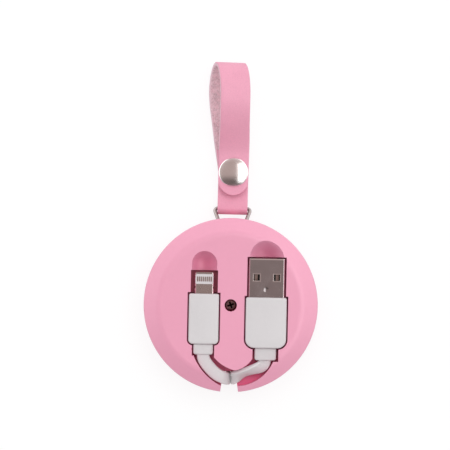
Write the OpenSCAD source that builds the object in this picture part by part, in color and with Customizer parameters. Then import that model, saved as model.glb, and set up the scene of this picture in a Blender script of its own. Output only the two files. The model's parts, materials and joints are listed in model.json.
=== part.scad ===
// Round cable keeper for the pocket: a flat charging lead winds up on a reel inside a pink case,
// its two plugs lie in pockets in the front face, and a leather strap hangs from a wire ring.
// The case lies on its back: Z is up out of the front face and Y points towards the strap.

/* [Case] */
// Diameter of the round case
case_d = 58; // [57:0.5:62]
// Thickness of the case from back face to front face
case_h = 18; // [18:0.1:21]
// Height of the joint line between the two shells
split_z = 6; // [5.5:0.1:6.5]
// Width of the sloping border round the front face
slope_w = 5; // [4:0.1:6]
// Drop of the sloping border at the rim
slope_h = 3.2; // [2.4:0.1:4]
// Radius that softens the inner edge of the border
face_edge_r = 4; // [2:0.5:6]
// Radius that softens the rims of both shells
rim_edge_r = 1.2; // [0.6:0.1:1.6]
// Width of the sloping border round the back face
back_slope_w = 4; // [3:0.1:5]
// Height of the sloping border round the back face
back_slope_h = 2.6; // [2:0.1:3]
// Chamfer along the joint line, on both shells
seam_chamfer = 0.25; // [0.1:0.05:0.4]
// Thickness of the back plate
back_t = 1.8; // [1.7:0.1:2.2]
// Width of the locating lip on the back shell
lip_w = 0.9; // [0.7:0.1:1.2]
// Height of the locating lip above the joint line
lip_h = 1; // [0.6:0.1:1.4]
// Clearance round the locating lip
lip_gap = 0.1; // [0.05:0.01:0.2]

/* [Slit] */
// Width of the cable slit inside the case
slit_in_w = 5.1; // [4.6:0.1:5.8]
// Width of the cable slit at the rim
slit_out_w = 6; // [5.6:0.1:7]
// Length of the slit's wider mouth
slit_mouth_l = 3.1; // [2.8:0.1:3.3]
// Distance of the two leads from the rim in the slit
lead_in = 4.5; // [4.4:0.1:4.6]
// Distance between the leads' inner ends and the wound cable
lead_end_gap = 0.6; // [0.5:0.1:0.7]

/* [Channels] */
// Room between the phone plug's lead and the outer wall, at the strain relief
phone_room = 1.18; // [1.1:0.02:1.3]
// Distance of that wall's centre to the right of the case's centre
phone_wall_x = 5.6; // [5.4:0.1:5.8]
// Distance of that wall's lowest point from the rim
phone_wall_in = 0.2; // [0.2:0.1:0.4]
// Room between the USB plug's lead and the outer wall, at the strain relief
usb_room = 0.88; // [0.8:0.02:1]
// Distance of that wall's centre to the right of the case's centre
usb_wall_x = 1.85; // [1.8:0.05:2]
// Distance of that wall's lowest point from the rim
usb_wall_in = 2.1; // [2:0.1:2.2]
// Distance of the tongue's end from the rim of the case
tongue_in = 7.3; // [7.2:0.1:7.5]
// Distance of the centre of the tongue's right side to the right of the case's centre
tongue_right_x = 4.7; // [4.6:0.1:4.8]
// Radius of the tongue's left side
tongue_left_r = 8.5; // [8.3:0.1:8.6]
// Radius of the tongue's right side
tongue_right_r = 13.1; // [12.9:0.1:13.2]

/* [Centre screw] */
// Diameter of the hole that the screw head sits in
head_hole_d = 4.1; // [4:0.1:4.6]
// Diameter of the screw head
head_d = 3.8; // [3.2:0.1:3.8]
// Thickness of the screw head
head_t = 1.3; // [1.1:0.1:1.6]
// Diameter of the screw shank
shank_d = 2; // [1.8:0.1:2.2]
// Length of the screw below its head
shank_l = 8; // [6:0.5:8.5]
// Thickness of the seat under the screw head
head_seat_t = 1.2; // [1:0.1:1.4]
// Width of the cross recess in the head
cross_w = 0.55; // [0.4:0.05:0.7]
// Length of the cross recess in the head
cross_l = 2.3; // [1.8:0.1:2.6]
// Radius of the post that takes the screw
post_r = 2.6; // [2.4:0.1:2.8]
// Clearance round the screw
screw_gap = 0.03; // [0.02:0.01:0.06]

/* [Reel] */
// Outer radius of the drum that the cable winds on
drum_r = 9; // [8.5:0.1:9.5]
// Wall of the drum
drum_wall = 1; // [0.8:0.1:1.3]
// Gap between both flanges and the wall of the reel chamber
flange_gap = 0.8; // [0.7:0.1:1]
// Thickness of the lower flange, which holds the ratchet track
flange_t = 1.6; // [1.5:0.1:1.7]
// Thickness of the reel's cover
cover_t = 1; // [0.8:0.1:1.1]
// Running clearance between the cover and the post
bearing_gap = 0.05; // [0.03:0.01:0.08]
// Height of the thrust ring under the drum
thrust_h = 0.2; // [0.1:0.05:0.25]
// Gap between the back plate and the reel
reel_gap = 0.3; // [0.3:0.05:0.4]
// Gap between the reel's cover and the roof of the chamber
roof_gap = 0.4; // [0.3:0.05:0.5]
// Wall between the reel chamber and the rim of the case
chamber_wall = 6.4; // [6.2:0.1:6.6]
// Distance of the wound cable from the edge of the flanges
coil_in = 0.8; // [0.8:0.1:1.8]

/* [Ratchet] */
// Diameter of the ratchet ball
ball_d = 2; // [1.9:0.1:2]
// Distance of the inner ball track from the centre
inner_track_r = 13.2; // [13:0.1:13.5]
// Distance of the outer ball track from the centre
outer_track_r = 16.8; // [16.6:0.1:17]
// Clearance of the ball in its slot and in its track
ball_gap = 0.08; // [0.05:0.01:0.12]
// Depth of the ratchet track in the flange
track_depth = 0.95; // [0.9:0.05:1]
// Number of catch islands in the track
island_count = 3; // [3:1:4]
// Angle that one catch island covers
island_angle = 72; // [40:1:72]

/* [Power spring] */
// Thickness of the spring strip
strip_t = 0.25; // [0.2:0.01:0.3]
// Width of the spring strip
strip_w = 4.6; // [4:0.1:4.8]
// Turns of the wound spring
spring_turns = 6; // [4:1:7]

/* [Cable] */
// Width of the flat cable
cable_w = 4.2; // [4:0.1:4.4]
// Thickness of the flat cable
cable_t = 1.5; // [1.3:0.1:1.6]

/* [USB plug] */
// Distance of the plug's axis from the centre of the case
usb_x = 11.8; // [11.6:0.1:12]
// Distance of the plug's tip from the centre of the case
usb_tip_y = 15.7; // [15.2:0.1:16]
// Width of the metal shell
usb_shell_w = 12; // [11.6:0.1:12.2]
// Height of the metal shell
usb_shell_t = 4.5; // [4.2:0.1:4.7]
// Free length of the metal shell
usb_shell_l = 12.9; // [12.4:0.1:13.4]
// Wall of the metal shell
usb_wall = 0.3; // [0.25:0.05:0.4]
// Outer corner radius of the metal shell
usb_corner_r = 0.55; // [0.45:0.05:0.8]
// Size of the square windows in the shell
window_s = 2.1; // [1.8:0.1:2.4]
// Distance of each window from the plug's axis
window_x = 3.35; // [3:0.05:3.5]
// Distance from the tip to the middle of the windows
window_from_tip = 6.3; // [5.5:0.1:7]
// Distance from the tip to the pressed dimple
dimple_from_tip = 10.4; // [9.8:0.1:10.8]
// Diameter of the pressed dimple
dimple_d = 2.1; // [1.6:0.1:2.4]
// Depth of the pressed dimple
dimple_depth = 0.16; // [0.1:0.01:0.2]
// Thickness of the plastic tongue inside the shell
tongue_t = 1.9; // [1.7:0.1:2]
// Distance of the tongue's front edge from the tip
tongue_back = 0.6; // [0.3:0.1:1]
// Distance of the outer two contacts from the plug's axis
outer_contact_x = 3.5; // [3.3:0.1:3.7]
// Distance of the inner two contacts from the plug's axis
inner_contact_x = 1; // [0.9:0.1:1.2]
// Width of the white grip
usb_grip_w = 13.6; // [13.4:0.1:13.8]
// Thickness of the white grip
usb_grip_t = 6.3; // [5.8:0.1:6.4]
// Length of the white grip
usb_grip_l = 16.8; // [16.4:0.1:17]
// Radius of the grip's lower corners
usb_grip_r = 2.9; // [2:0.1:3.2]
// Width of the strain relief
usb_relief_w = 7.2; // [6.6:0.1:7.6]
// Length of the strain relief
usb_relief_l = 4.1; // [3.8:0.1:4.2]

/* [Phone plug] */
// Distance of the plug's axis from the centre of the case
phone_x = 8.9; // [8.7:0.1:9.1]
// Distance of the plug's tip from the centre of the case
phone_tip_y = 10.8; // [10.4:0.1:11.2]
// Width of the metal tab
tab_w = 6.6; // [6.4:0.1:6.8]
// Thickness of the metal tab
tab_t = 1.5; // [1.4:0.05:1.7]
// Free length of the metal tab
tab_l = 7.1; // [6.6:0.1:7.4]
// Width of the contact block in the tab
block_w = 5.9; // [5.6:0.1:6]
// Length of the contact block in the tab
block_l = 3.3; // [3:0.1:3.6]
// Distance of the contact block from the tip
block_from_tip = 0.6; // [0.4:0.1:1]
// Number of contacts on each side of the tab
contact_count = 8; // [8:1:8]
// Distance between neighbouring contacts
contact_pitch = 0.65; // [0.6:0.01:0.68]
// Width of one contact
contact_w = 0.4; // [0.3:0.02:0.46]
// Length of one contact
contact_l = 1.6; // [1.4:0.1:2]
// Width of the white grip
phone_grip_w = 10; // [9.8:0.1:10.2]
// Thickness of the white grip
phone_grip_t = 5; // [4.6:0.1:5.4]
// Length of the white grip
phone_grip_l = 16.7; // [16.4:0.1:17]
// Radius of the grip's lower corners
phone_grip_r = 1.4; // [1:0.1:2]
// Width of the strain relief
phone_relief_w = 6.6; // [6:0.1:6.8]
// Length of the strain relief
phone_relief_l = 3.5; // [3.2:0.1:3.6]

/* [Pockets] */
// Clearance between a grip and its pocket
grip_gap = 0.45; // [0.3:0.05:0.5]
// Clearance below a grip
seat_gap = 0.1; // [0.05:0.05:0.2]
// Clearance round the metal shell of the USB plug
shell_gap = 0.5; // [0.4:0.05:0.6]
// Clearance beside the metal tab of the phone plug
tab_side_gap = 1.2; // [1:0.1:1.4]
// Clearance in front of the metal tab
tab_end_gap = 0.7; // [0.5:0.1:1]
// Clearance round the strain reliefs
relief_gap = 0.4; // [0.3:0.05:0.45]
// Radius of the thumb scoop above the USB plug
usb_scoop_r = 5.7; // [5.2:0.1:6]
// Radius of the thumb scoop above the phone plug
phone_scoop_r = 4.2; // [3.8:0.1:4.4]
// Reach of the phone plug's scoop beyond its pocket
phone_scoop_l = 6.4; // [6:0.1:6.8]
// Depth of both thumb scoops
scoop_depth = 3.6; // [3:0.1:3.8]

/* [Ring] */
// Thickness of the ring's wire
wire_d = 1.2; // [1:0.05:1.3]
// Length of the ring between its two bars
ring_l = 6.4; // [6:0.1:7]
// Half length of the bar in the case, to its corners
lug_bar = 4.2; // [4.1:0.1:4.3]
// Half length of the bar in the strap, to its corners
strap_bar = 6.2; // [6.1:0.1:6.5]
// Bend radius at the ring's corners
ring_bend = 1.05; // [1.05:0.05:1.1]
// Distance of the ring's pivot from the rim of the case
pivot_in = 2.1; // [1.9:0.1:2.3]
// Half width of the lug that the ring turns in
lug_w = 2.6; // [2.4:0.1:2.7]
// Half width of the notch beside the lug
notch_w = 5.7; // [5.6:0.1:6]
// Half height of the notch beside the lug
notch_h = 2.9; // [2.8:0.1:2.9]
// Clearance between the wire and the lug
pivot_gap = 0.05; // [0.03:0.01:0.08]

/* [Strap] */
// Width of the strap
strap_w = 10.1; // [9.4:0.1:10.2]
// Thickness of the leather
leather_t = 1.3; // [1.1:0.05:1.4]
// Clearance between the leather and the ring's wire
fold_gap = 0.15; // [0.15:0.05:0.3]
// Distance from the ring's bar to the press stud
stud_y = 12.1; // [11.6:0.1:12.6]
// Distance from the ring's bar to the top of the loop
loop_y = 48.8; // [44:0.2:60]
// Open height of the loop between its two layers
loop_gap = 12; // [9:0.5:14]
// Length of the rounded top of the loop
crest_l = 11.5; // [9:0.5:13]
// Distance from the stud to the rounded end of the flap
flap_l = 7.7; // [7:0.1:7.8]
// Distance from the stud to the end of the leather under the flap
short_l = 7.5; // [6.5:0.1:8]
// Turn of the loop about its own length
loop_twist = 14.5; // [0:0.5:16]
// Share by which the lower layer runs off to the left, above the press stud
loop_skew = 0.165; // [0:0.005:0.18]
// Lean of the strap to the left
strap_lean = -0.4; // [-0.6:0.1:0.6]

/* [Press stud] */
// Diameter of the cap
cap_d = 9.8; // [9:0.1:10]
// Height of the cap's dome
cap_h = 1.3; // [1:0.1:1.6]
// Thickness of the cap's sheet
cap_t = 0.3; // [0.2:0.05:0.4]
// Diameter of the hole through the leather
stud_hole_d = 2.8; // [2.4:0.1:3]
// Diameter of the socket and of the stud's plate
socket_d = 8.4; // [7.8:0.1:8.8]
// Gap between the two leathers that the stud joins
stud_gap = 2.4; // [2.4:0.1:2.8]
// Diameter of the stud's knob
knob_d = 4; // [3.8:0.1:4.2]
// Thickness of the stud's plates
plate_t = 0.4; // [0.35:0.05:0.5]
// Clearance between pieces of the stud
stud_clear = 0.05; // [0.03:0.01:0.08]

/* [Hidden] */

// Colours
pink = [0.94, 0.66, 0.75];
pink_leather = [0.93, 0.64, 0.74];
cable_white = [0.88, 0.87, 0.88];
steel = [0.62, 0.58, 0.57];
dark_steel = [0.26, 0.22, 0.22];
nickel = [0.75, 0.72, 0.7];
gold = [0.8, 0.63, 0.32];
reel_grey = [0.83, 0.83, 0.82];
black_plastic = [0.12, 0.12, 0.13];

// Mesh fineness of the round faces, and a small overshoot for clean cuts
round_fn = 96;
small_fn = 40;
over = 0.5;
far = 100;

// Radii and heights of the case
case_r = case_d / 2;
face_r = case_r - slope_w;
chamber_r = case_r - chamber_wall;
flange_r = chamber_r - flange_gap;
coil_r = flange_r - coil_in;
tongue_reach = case_r - tongue_in;
pivot_y = case_r - pivot_in;
lug_bore_r = wire_d / 2 + pivot_gap;
lip_r = case_r - 1.3;

// Heights of the reel, from the back plate up
reel_z = back_t + reel_gap;
coil_z = reel_z + flange_t + 0.2;
cover_z = coil_z + cable_w + 0.2;
roof_z = cover_z + cover_t + roof_gap;
drum_bore_r = drum_r - drum_wall;
spring_z = reel_z + 0.4;
cover_hole_d = 5.2;
spring_in_r = post_r + 0.35;
spring_out_r = drum_bore_r - 0.1;
hook_x = shank_d / 2 + 0.75;

// Ball, its slot and its track
slot_r = ball_d / 2 + ball_gap;
ball_z = back_t - 0.05;
slot_floor = ball_z - ball_d / 2 - 0.05;
track_in_r = inner_track_r - ball_d / 2 - 0.2;
track_out_r = outer_track_r + ball_d / 2 + 0.2;
island_r = (inner_track_r + outer_track_r) / 2;
island_w = outer_track_r - inner_track_r - ball_d - 0.5;

// Plug places: each grip is flush with the front face
usb_mid_z = case_h - usb_grip_t / 2;
usb_grip_y = usb_tip_y - usb_shell_l;
usb_end_y = usb_grip_y - usb_grip_l;
usb_floor = case_h - usb_grip_t - seat_gap;
usb_relief_t = cable_t + 1.9;
tongue_z = -usb_shell_t / 2 + usb_wall + 0.1;
phone_mid_z = case_h - phone_grip_t / 2;
phone_grip_y = phone_tip_y - tab_l;
phone_end_y = phone_grip_y - phone_grip_l;
phone_floor = case_h - phone_grip_t - seat_gap;
phone_relief_t = cable_t + 1.5;
tab_floor = phone_mid_z - tab_t / 2 - 1.1;
relief_play = 0.3;
channel_top = -14.5;
plug_root = 3;
root_gap = 0.03;
cable_gap = 0.05;

// Seat of the screw head and heights of the screw
head_seat_z = roof_z + head_seat_t;
pilot_z = head_seat_z - shank_l - 0.3;

// Ring and strap at rest: the strap lies on the surface under the case
fold_r = wire_d / 2 + fold_gap + leather_t / 2;
strap_z = 0.45;
bar_z = strap_z + leather_t / 2 + fold_r;
ring_droop = asin((split_z - bar_z) / ring_l);
bar_y = pivot_y + ring_l * cos(ring_droop);
layer_gap = 0.1;
low_z = -fold_r;
mid_z = low_z + leather_t + layer_gap;
flap_z = mid_z + leather_t + stud_gap;

// Places of both leads in the slit, side by side
lead_pitch = cable_t + 0.1;
lead_mid_x = 0.4;
lead_y = -case_r + lead_in;
coil_mid_z = coil_z + cable_w / 2;

// Route of each lead from its strain relief, point by point: the share of the way left to the slit,
// the share of the way along to the rim, and the share of the height left above the coil's middle
phone_share = [[1, -0.14, 1], [1, 0.01, 1], [0.976, 0.162, 1], [0.886, 0.342, 0.99],
    [0.7, 0.584, 0.968], [0.465, 0.808, 0.926], [0.224, 0.938, 0.842], [0.059, 1, 0.674],
    [0, 1, 0.463], [0, 0.988, 0.274], [0, 0.875, 0.063]];
usb_share = [[1, -0.172, 1], [1, 0, 1], [0.981, 0.172, 1], [0.875, 0.359, 0.994],
    [0.654, 0.5, 0.96], [0.375, 0.648, 0.921], [0.163, 0.813, 0.842], [0.024, 0.953, 0.678],
    [0, 1, 0.452], [0, 0.969, 0.271], [0, 0.828, 0.056]];
function route(share, x0, y0, z0, x1) = concat(
    [for (f = share) [mix(x1, x0, f[0]), mix(y0, lead_y, f[1]), mix(coil_mid_z, z0, f[2])]],
    [[x1, -coil_r - lead_end_gap, coil_mid_z]]);
phone_route = route(phone_share, -phone_x, phone_end_y - phone_relief_l, phone_mid_z,
    lead_mid_x - lead_pitch / 2);
usb_route = route(usb_share, usb_x - 0.2, usb_end_y - usb_relief_l, usb_mid_z,
    lead_mid_x + lead_pitch / 2);

// Direction of the cable's width at each point of a route
phone_width = [[9, 0, 0], [9, 0, 0], [9, 2, 0], [9, 4, 0], [8, 6, 0], [5, 9, 1], [2, 9, 2], [0, 9, 1],
    [0, 9, 1], [0, 9, 2], [0, 6, 7], [0, 0, 1]];
usb_width = [[8, 0, 0], [8, 0, 0], [8, -2, 0], [6, -7, -1], [4, -7, -5], [2, -5, -8], [1, -7, -6],
    [0, -9, -3], [0, -9, -1], [0, -9, -2], [0, -6, -7], [0, 0, -1]];
route_steps = 3;

// Shared functions
function unit(v) = v / norm(v);
function mix(a, b, t) = a * (1 - t) + b * t;
function ease(t) = let (c = min(max(t, 0), 1)) c * c * (3 - 2 * c);

// Points of an arc of radius r that rounds the corner b between a and c
function corner(a, b, c, r, n = 6) =
    let (u = unit(a - b), v = unit(c - b), half = acos(u * v) / 2)
    let (o = b + unit(u + v) * r / sin(half))
    let (p = b + u * r / tan(half) - o, q = b + v * r / tan(half) - o)
    [for (i = [0 : n]) o + r * unit(mix(p, q, i / n))];

// Point of a smooth curve through the points p, at the place u counted in points
function along(p, u) =
    let (n = len(p) - 1, i = min(floor(u), n - 1), t = u - i)
    let (a = p[max(i - 1, 0)], b = p[i], c = p[i + 1], d = p[min(i + 2, n)])
    0.5 * (2 * b + (c - a) * t + (2 * a - 5 * b + 4 * c - d) * t * t
        + (3 * (b - c) + d - a) * t * t * t);

// Eight points of a flat section with softened edges, w wide along u and t thick along v
function flat_ring(o, u, v, w, t) =
    let (a = w / 2, b = t / 2, e = t * 0.28)
    let (half = [[a, b - e], [a - e, b], [e - a, b], [-a, b - e]])
    [for (c = concat(half, -half)) o + c[0] * u + c[1] * v];

// Closed skin over a list of rings that each have the same number of points
module skin(rings) {
    n = len(rings);
    k = len(rings[0]);
    sides = [for (i = [0 : n - 2]) for (j = [0 : k - 1]) let (a = i * k + j, b = i * k + (j + 1) % k)
        each [[a, b, b + k], [a, b + k, a + k]]];
    first = [for (j = [0 : k - 1]) k - 1 - j];
    last = [for (j = [0 : k - 1]) (n - 1) * k + j];
    polyhedron([for (r = rings) each r], concat(sides, [first, last]), convexity = 10);
}

// Flat cable swept along a route
module flat_lead(route, widths) {
    count = (len(route) - 1) * route_steps;
    rings = [for (i = [0 : count])
        let (u = i / route_steps, d = 0.05)
        let (ahead = along(route, min(u + d, len(route) - 1)), behind = along(route, max(u - d, 0)))
        let (t = unit(ahead - behind), w = along(widths, u))
        let (across = unit(w - (w * t) * t))
        flat_ring(along(route, u), across, cross(across, t), cable_w, cable_t)];
    skin(rings);
}

// Outline w wide that runs from y = top down to y = top - l, with its two lower corners rounded
module low_round(w, top, l, r) {
    translate([-w / 2, top - l + r]) square([w, l - r]);
    translate([r - w / 2, top - l]) square([w - 2 * r, l]);
    for (s = [-1, 1]) translate([s * (w / 2 - r), top - l + r]) circle(r, $fn = small_fn);
}

// Block of thickness t with softened edges: soft_w wide, from top down by l, lower corners r
module soft_block(w, top, l, t, r, edge = 0.5) {
    module puck(radius) {
        rotate_extrude($fn = 32) polygon(concat([[0, -t / 2]],
            corner([0, -t / 2], [radius, -t / 2], [radius, 0], edge, 4),
            corner([radius, 0], [radius, t / 2], [0, t / 2], edge, 4), [[0, t / 2]]));
    }
    top_r = edge + 0.15;
    hull() for (s = [-1, 1]) {
        translate([s * (w / 2 - r), top - l + r, 0]) puck(r);
        translate([s * (w / 2 - top_r), top - top_r, 0]) puck(top_r);
    }
}

// Upright cut of a flat outline from the height z to above the case
module cut_from(z) {
    translate([0, 0, z]) linear_extrude(far) children();
}

// Case
module slit_cut() {
    a = slit_in_w / 2;
    b = slit_out_w / 2;
    flare_y = -case_r + slit_mouth_l;
    translate([0, 0, -over]) linear_extrude(far) polygon([
        [-a, over - chamber_r], [-a, flare_y], [-b, -case_r], [-b, -case_r - over],
        [b, -case_r - over], [b, -case_r], [a, flare_y], [a, over - chamber_r]]);
}

module ring_cuts() {
    for (s = [-1, 1]) translate([s * (lug_w + notch_w) / 2, pivot_y - 1.3 + far / 2, split_z])
        cube([notch_w - lug_w, far, 2 * notch_h], center = true);
    translate([0, pivot_y, split_z]) rotate([0, 90, 0])
        cylinder(h = 2 * notch_w - 1, r = lug_bore_r, center = true, $fn = small_fn);
}

module lip_ring(gap) {
    difference() {
        cylinder(h = lip_h + gap, r = lip_r + gap, $fn = round_fn);
        translate([0, 0, -1]) cylinder(h = lip_h + 3, r = lip_r - lip_w - gap, $fn = round_fn);
    }
}

// Breaks in the locating lip at the ring and at the slit
module lip_breaks(margin) {
    deep = case_r / 2;
    translate([0, pivot_y, 0]) cube([2 * (notch_w + margin), deep, far], center = true);
    translate([0, -case_r, 0]) cube([slit_out_w + 2 * margin, deep, far], center = true);
}

module back_shell() {
    foot = [case_r - back_slope_w, 0];
    rim = [case_r, back_slope_h];
    color(pink) {
        difference() {
            rotate_extrude($fn = round_fn) polygon(concat([[0, 0]],
                corner([0, 0], foot, rim, rim_edge_r),
                corner(foot, rim, [case_r, split_z], rim_edge_r),
                [[case_r, split_z - seam_chamfer], [case_r - seam_chamfer, split_z], [0, split_z]]));
            difference() {
                translate([0, 0, back_t]) cylinder(h = far, r = chamber_r, $fn = round_fn);
                cylinder(h = far, r = post_r, $fn = small_fn);
                thrust_ring();
            }
            slit_cut();
            ring_cuts();
            ball_slot();
            post_cuts();
        }
        difference() {
            translate([0, 0, split_z]) lip_ring(0);
            lip_breaks(1);
        }
        post_top();
    }
}

module thrust_ring() {
    difference() {
        cylinder(h = back_t + thrust_h, r = drum_r, $fn = small_fn);
        translate([0, 0, -1]) cylinder(h = back_t + thrust_h + 2, r = drum_bore_r, $fn = small_fn);
    }
}

module ball_slot() {
    translate([0, 0, slot_floor]) linear_extrude(far) {
        translate([inner_track_r, -slot_r]) square([outer_track_r - inner_track_r, 2 * slot_r]);
        for (x = [inner_track_r, outer_track_r]) translate([x, 0]) circle(slot_r, $fn = small_fn);
    }
}

module post_top() {
    difference() {
        translate([0, 0, split_z]) cylinder(h = roof_z - split_z, r = post_r, $fn = small_fn);
        post_cuts();
    }
}

// Pilot hole for the screw, and the slot that the spring's inner end hooks into
module post_cuts() {
    slot_side = 0.1;
    translate([0, 0, pilot_z]) cylinder(h = far, r = shank_d / 2 + screw_gap, $fn = small_fn);
    translate([hook_x - slot_side, -strip_t - slot_side, spring_z - slot_side])
        cube([post_r, strip_t + 2 * slot_side, strip_w + 2 * slot_side]);
}

module front_shell() {
    brow = [face_r, case_h];
    rim = [case_r, case_h - slope_h];
    color(pink) difference() {
        rotate_extrude($fn = round_fn) polygon(concat(
            [[0, split_z], [case_r - seam_chamfer, split_z], [case_r, split_z + seam_chamfer]],
            corner([case_r, split_z], rim, brow, rim_edge_r),
            corner(rim, brow, [0, case_h], face_edge_r), [[0, case_h]]));
        translate([0, 0, -1]) cylinder(h = roof_z + 1, r = chamber_r, $fn = round_fn);
        difference() {
            translate([0, 0, split_z - lip_gap]) lip_ring(lip_gap);
            lip_breaks(0.5);
        }
        slit_cut();
        ring_cuts();
        screw_hole();
        usb_pocket();
        phone_pocket();
        cut_from(usb_floor) channels();
    }
}

module screw_hole() {
    translate([0, 0, head_seat_z]) cylinder(h = far, r = head_hole_d / 2, $fn = small_fn);
    cylinder(h = far, r = shank_d / 2 + 0.2, $fn = small_fn);
}

module usb_pocket() {
    relief_w = usb_relief_w + 2 * (relief_gap + relief_play);
    scoop_y = usb_tip_y + shell_gap;
    translate([usb_x, 0, 0]) {
        cut_from(usb_floor) low_round(usb_grip_w + 2 * grip_gap, usb_grip_y + grip_gap,
            usb_grip_l + 2 * grip_gap, usb_grip_r + grip_gap);
        cut_from(usb_mid_z - usb_shell_t / 2 - shell_gap)
            translate([-usb_shell_w / 2 - shell_gap, usb_grip_y])
            square([usb_shell_w + 2 * shell_gap, usb_shell_l + shell_gap]);
        cut_from(usb_floor) translate([-relief_w / 2, usb_end_y - usb_relief_l - relief_gap])
            square([relief_w, usb_relief_l + 4]);
        scoop(usb_scoop_r, scoop_y, scoop_y);
    }
}

module phone_pocket() {
    relief_w = phone_relief_w + 2 * relief_gap;
    pocket_top = phone_tip_y + tab_end_gap;
    translate([-phone_x, 0, 0]) {
        cut_from(phone_floor) low_round(phone_grip_w + 2 * grip_gap, phone_grip_y + grip_gap,
            phone_grip_l + 2 * grip_gap, phone_grip_r + grip_gap);
        cut_from(tab_floor) translate([-tab_w / 2 - tab_side_gap, phone_grip_y])
            square([tab_w + 2 * tab_side_gap, tab_l + tab_end_gap]);
        cut_from(phone_floor) translate([-relief_w / 2, phone_end_y - phone_relief_l - relief_gap])
            square([relief_w, phone_relief_l + 3]);
        scoop(phone_scoop_r, pocket_top, pocket_top + phone_scoop_l - phone_scoop_r);
    }
}

// Round-bottomed hollow of opening radius r that runs from y0 to a domed end centred at y1
module scoop(r, y0, y1) {
    big = (r * r + scoop_depth * scoop_depth) / (2 * scoop_depth);
    translate([0, 0, case_h + big - scoop_depth]) {
        translate([0, y1, 0]) sphere(big, $fn = round_fn);
        translate([0, y1, 0]) rotate([90, 0, 0]) cylinder(h = y1 - y0 + 0.4, r = big, $fn = round_fn);
    }
}

// Radius of a wall that passes a lead at the distance x beside its centre and y above its lowest point
function wall_r(x, y) = (x * x + y * y) / (2 * y);

// Channels that lead both cables from the strain reliefs, round a tongue, to the slit
module channels() {
    phone_side = wall_r(phone_x + cable_w / 2 + phone_room + phone_wall_x,
        phone_end_y - phone_relief_l + case_r - phone_wall_in);
    usb_side = wall_r(usb_route[0][0] + cable_w / 2 + usb_room - usb_wall_x,
        usb_end_y - usb_relief_l + case_r - usb_wall_in);
    tongue_left = phone_relief_w / 2 + relief_gap - phone_x;
    tongue_right = usb_x - usb_relief_w / 2 - relief_gap - relief_play;
    module half(x, c, r) {
        intersection() {
            translate(c) circle(r, $fn = round_fn);
            translate([x, channel_top - far]) square([far, far]);
        }
    }
    difference() {
        intersection() {
            union() {
                half(over - far, [phone_wall_x, phone_side - case_r + phone_wall_in], phone_side);
                half(0, [usb_wall_x, usb_side - case_r + usb_wall_in], usb_side);
            }
            circle(case_r - 2, $fn = round_fn);
        }
        intersection() {
            translate([0.2, tongue_left_r - tongue_reach]) circle(tongue_left_r, $fn = round_fn);
            translate([tongue_right_x, tongue_right_r - tongue_reach - 0.2])
                circle(tongue_right_r, $fn = round_fn);
            translate([tongue_left, -far / 2]) square([tongue_right - tongue_left, far]);
        }
    }
}

// Centre screw
module centre_screw() {
    shank = shank_d / 2;
    head = head_d / 2;
    recess = 0.8;
    color(dark_steel) translate([0, 0, head_seat_z]) difference() {
        rotate_extrude($fn = small_fn) polygon(concat(
            [[0, -shank_l], [shank - 0.3, -shank_l], [shank, 0.5 - shank_l], [shank, 0], [head, 0]],
            corner([head, 0], [head, head_t], [0, head_t], 0.5, 4), [[0, head_t]]));
        for (a = [20, 110]) rotate([0, 0, a]) translate([-cross_l / 2, -cross_w / 2, head_t - recess])
            cube([cross_l, cross_w, 2 * recess]);
    }
}

// Reel
module reel() {
    color(reel_grey) difference() {
        union() {
            translate([0, 0, reel_z]) cylinder(h = flange_t, r = flange_r, $fn = round_fn);
            translate([0, 0, reel_z]) cylinder(h = cover_z - reel_z, r = drum_r, $fn = round_fn);
        }
        translate([0, 0, -1]) cylinder(h = far, r = drum_bore_r, $fn = round_fn);
        translate([0, 0, reel_z - 1]) linear_extrude(track_depth + 1) ratchet_track();
    }
}

// Two concentric ball tracks, parted by islands whose hollow ends catch the ball
module ratchet_track() {
    difference() {
        circle(track_out_r, $fn = round_fn);
        circle(track_in_r, $fn = round_fn);
        for (i = [0 : island_count - 1]) rotate([0, 0, 360 / island_count * (i + 0.5)]) island();
    }
}

module island() {
    difference() {
        intersection() {
            difference() {
                circle(island_r + island_w / 2, $fn = round_fn);
                circle(island_r - island_w / 2, $fn = round_fn);
            }
            polygon([[0, 0], [far, -far * tan(island_angle / 2)], [far, far * tan(island_angle / 2)]]);
        }
        rotate([0, 0, island_angle / 2]) translate([island_r, 0.5]) circle(slot_r, $fn = small_fn);
    }
}

module reel_cover() {
    color(reel_grey) translate([0, 0, cover_z]) difference() {
        cylinder(h = cover_t, r = flange_r, $fn = round_fn);
        translate([0, 0, -1]) cylinder(h = cover_t + 2, r = post_r + bearing_gap, $fn = small_fn);
        for (a = [0 : 60 : 300]) rotate([0, 0, a]) translate([(drum_r + flange_r) / 2, 0, -1])
            cylinder(h = cover_t + 2, d = cover_hole_d, $fn = small_fn);
    }
}

// Wound strip with its inner end bent into the post's slot and its outer end at the drum
module power_spring() {
    steps = 20 * spring_turns;
    pitch = (spring_out_r - strip_t - spring_in_r) / spring_turns;
    hook = [[spring_in_r, -strip_t], [hook_x, -strip_t], [hook_x, 0]];
    function face(i, r) = let (a = 18 * i) (r + pitch * a / 360) * [cos(a), sin(a)];
    inner = [for (i = [0 : steps]) face(i, spring_in_r)];
    outer = [for (i = [steps : -1 : 0]) face(i, spring_in_r + strip_t)];
    color(steel) translate([0, 0, spring_z]) linear_extrude(strip_w)
        polygon(concat(inner, outer, [[spring_in_r + strip_t, -strip_t]], hook));
}

module ratchet_ball() {
    color(steel) translate([outer_track_r, 0, ball_z]) sphere(ball_d / 2, $fn = small_fn);
}

// Cable
module cable_coil() {
    color(cable_white) translate([0, 0, coil_z]) difference() {
        cylinder(h = cable_w, r = coil_r, $fn = round_fn);
        translate([0, 0, -1]) cylinder(h = cable_w + 2, r = drum_r + 0.02, $fn = round_fn);
    }
}

module usb_lead() {
    color(cable_white) flat_lead(usb_route, usb_width);
}

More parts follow.
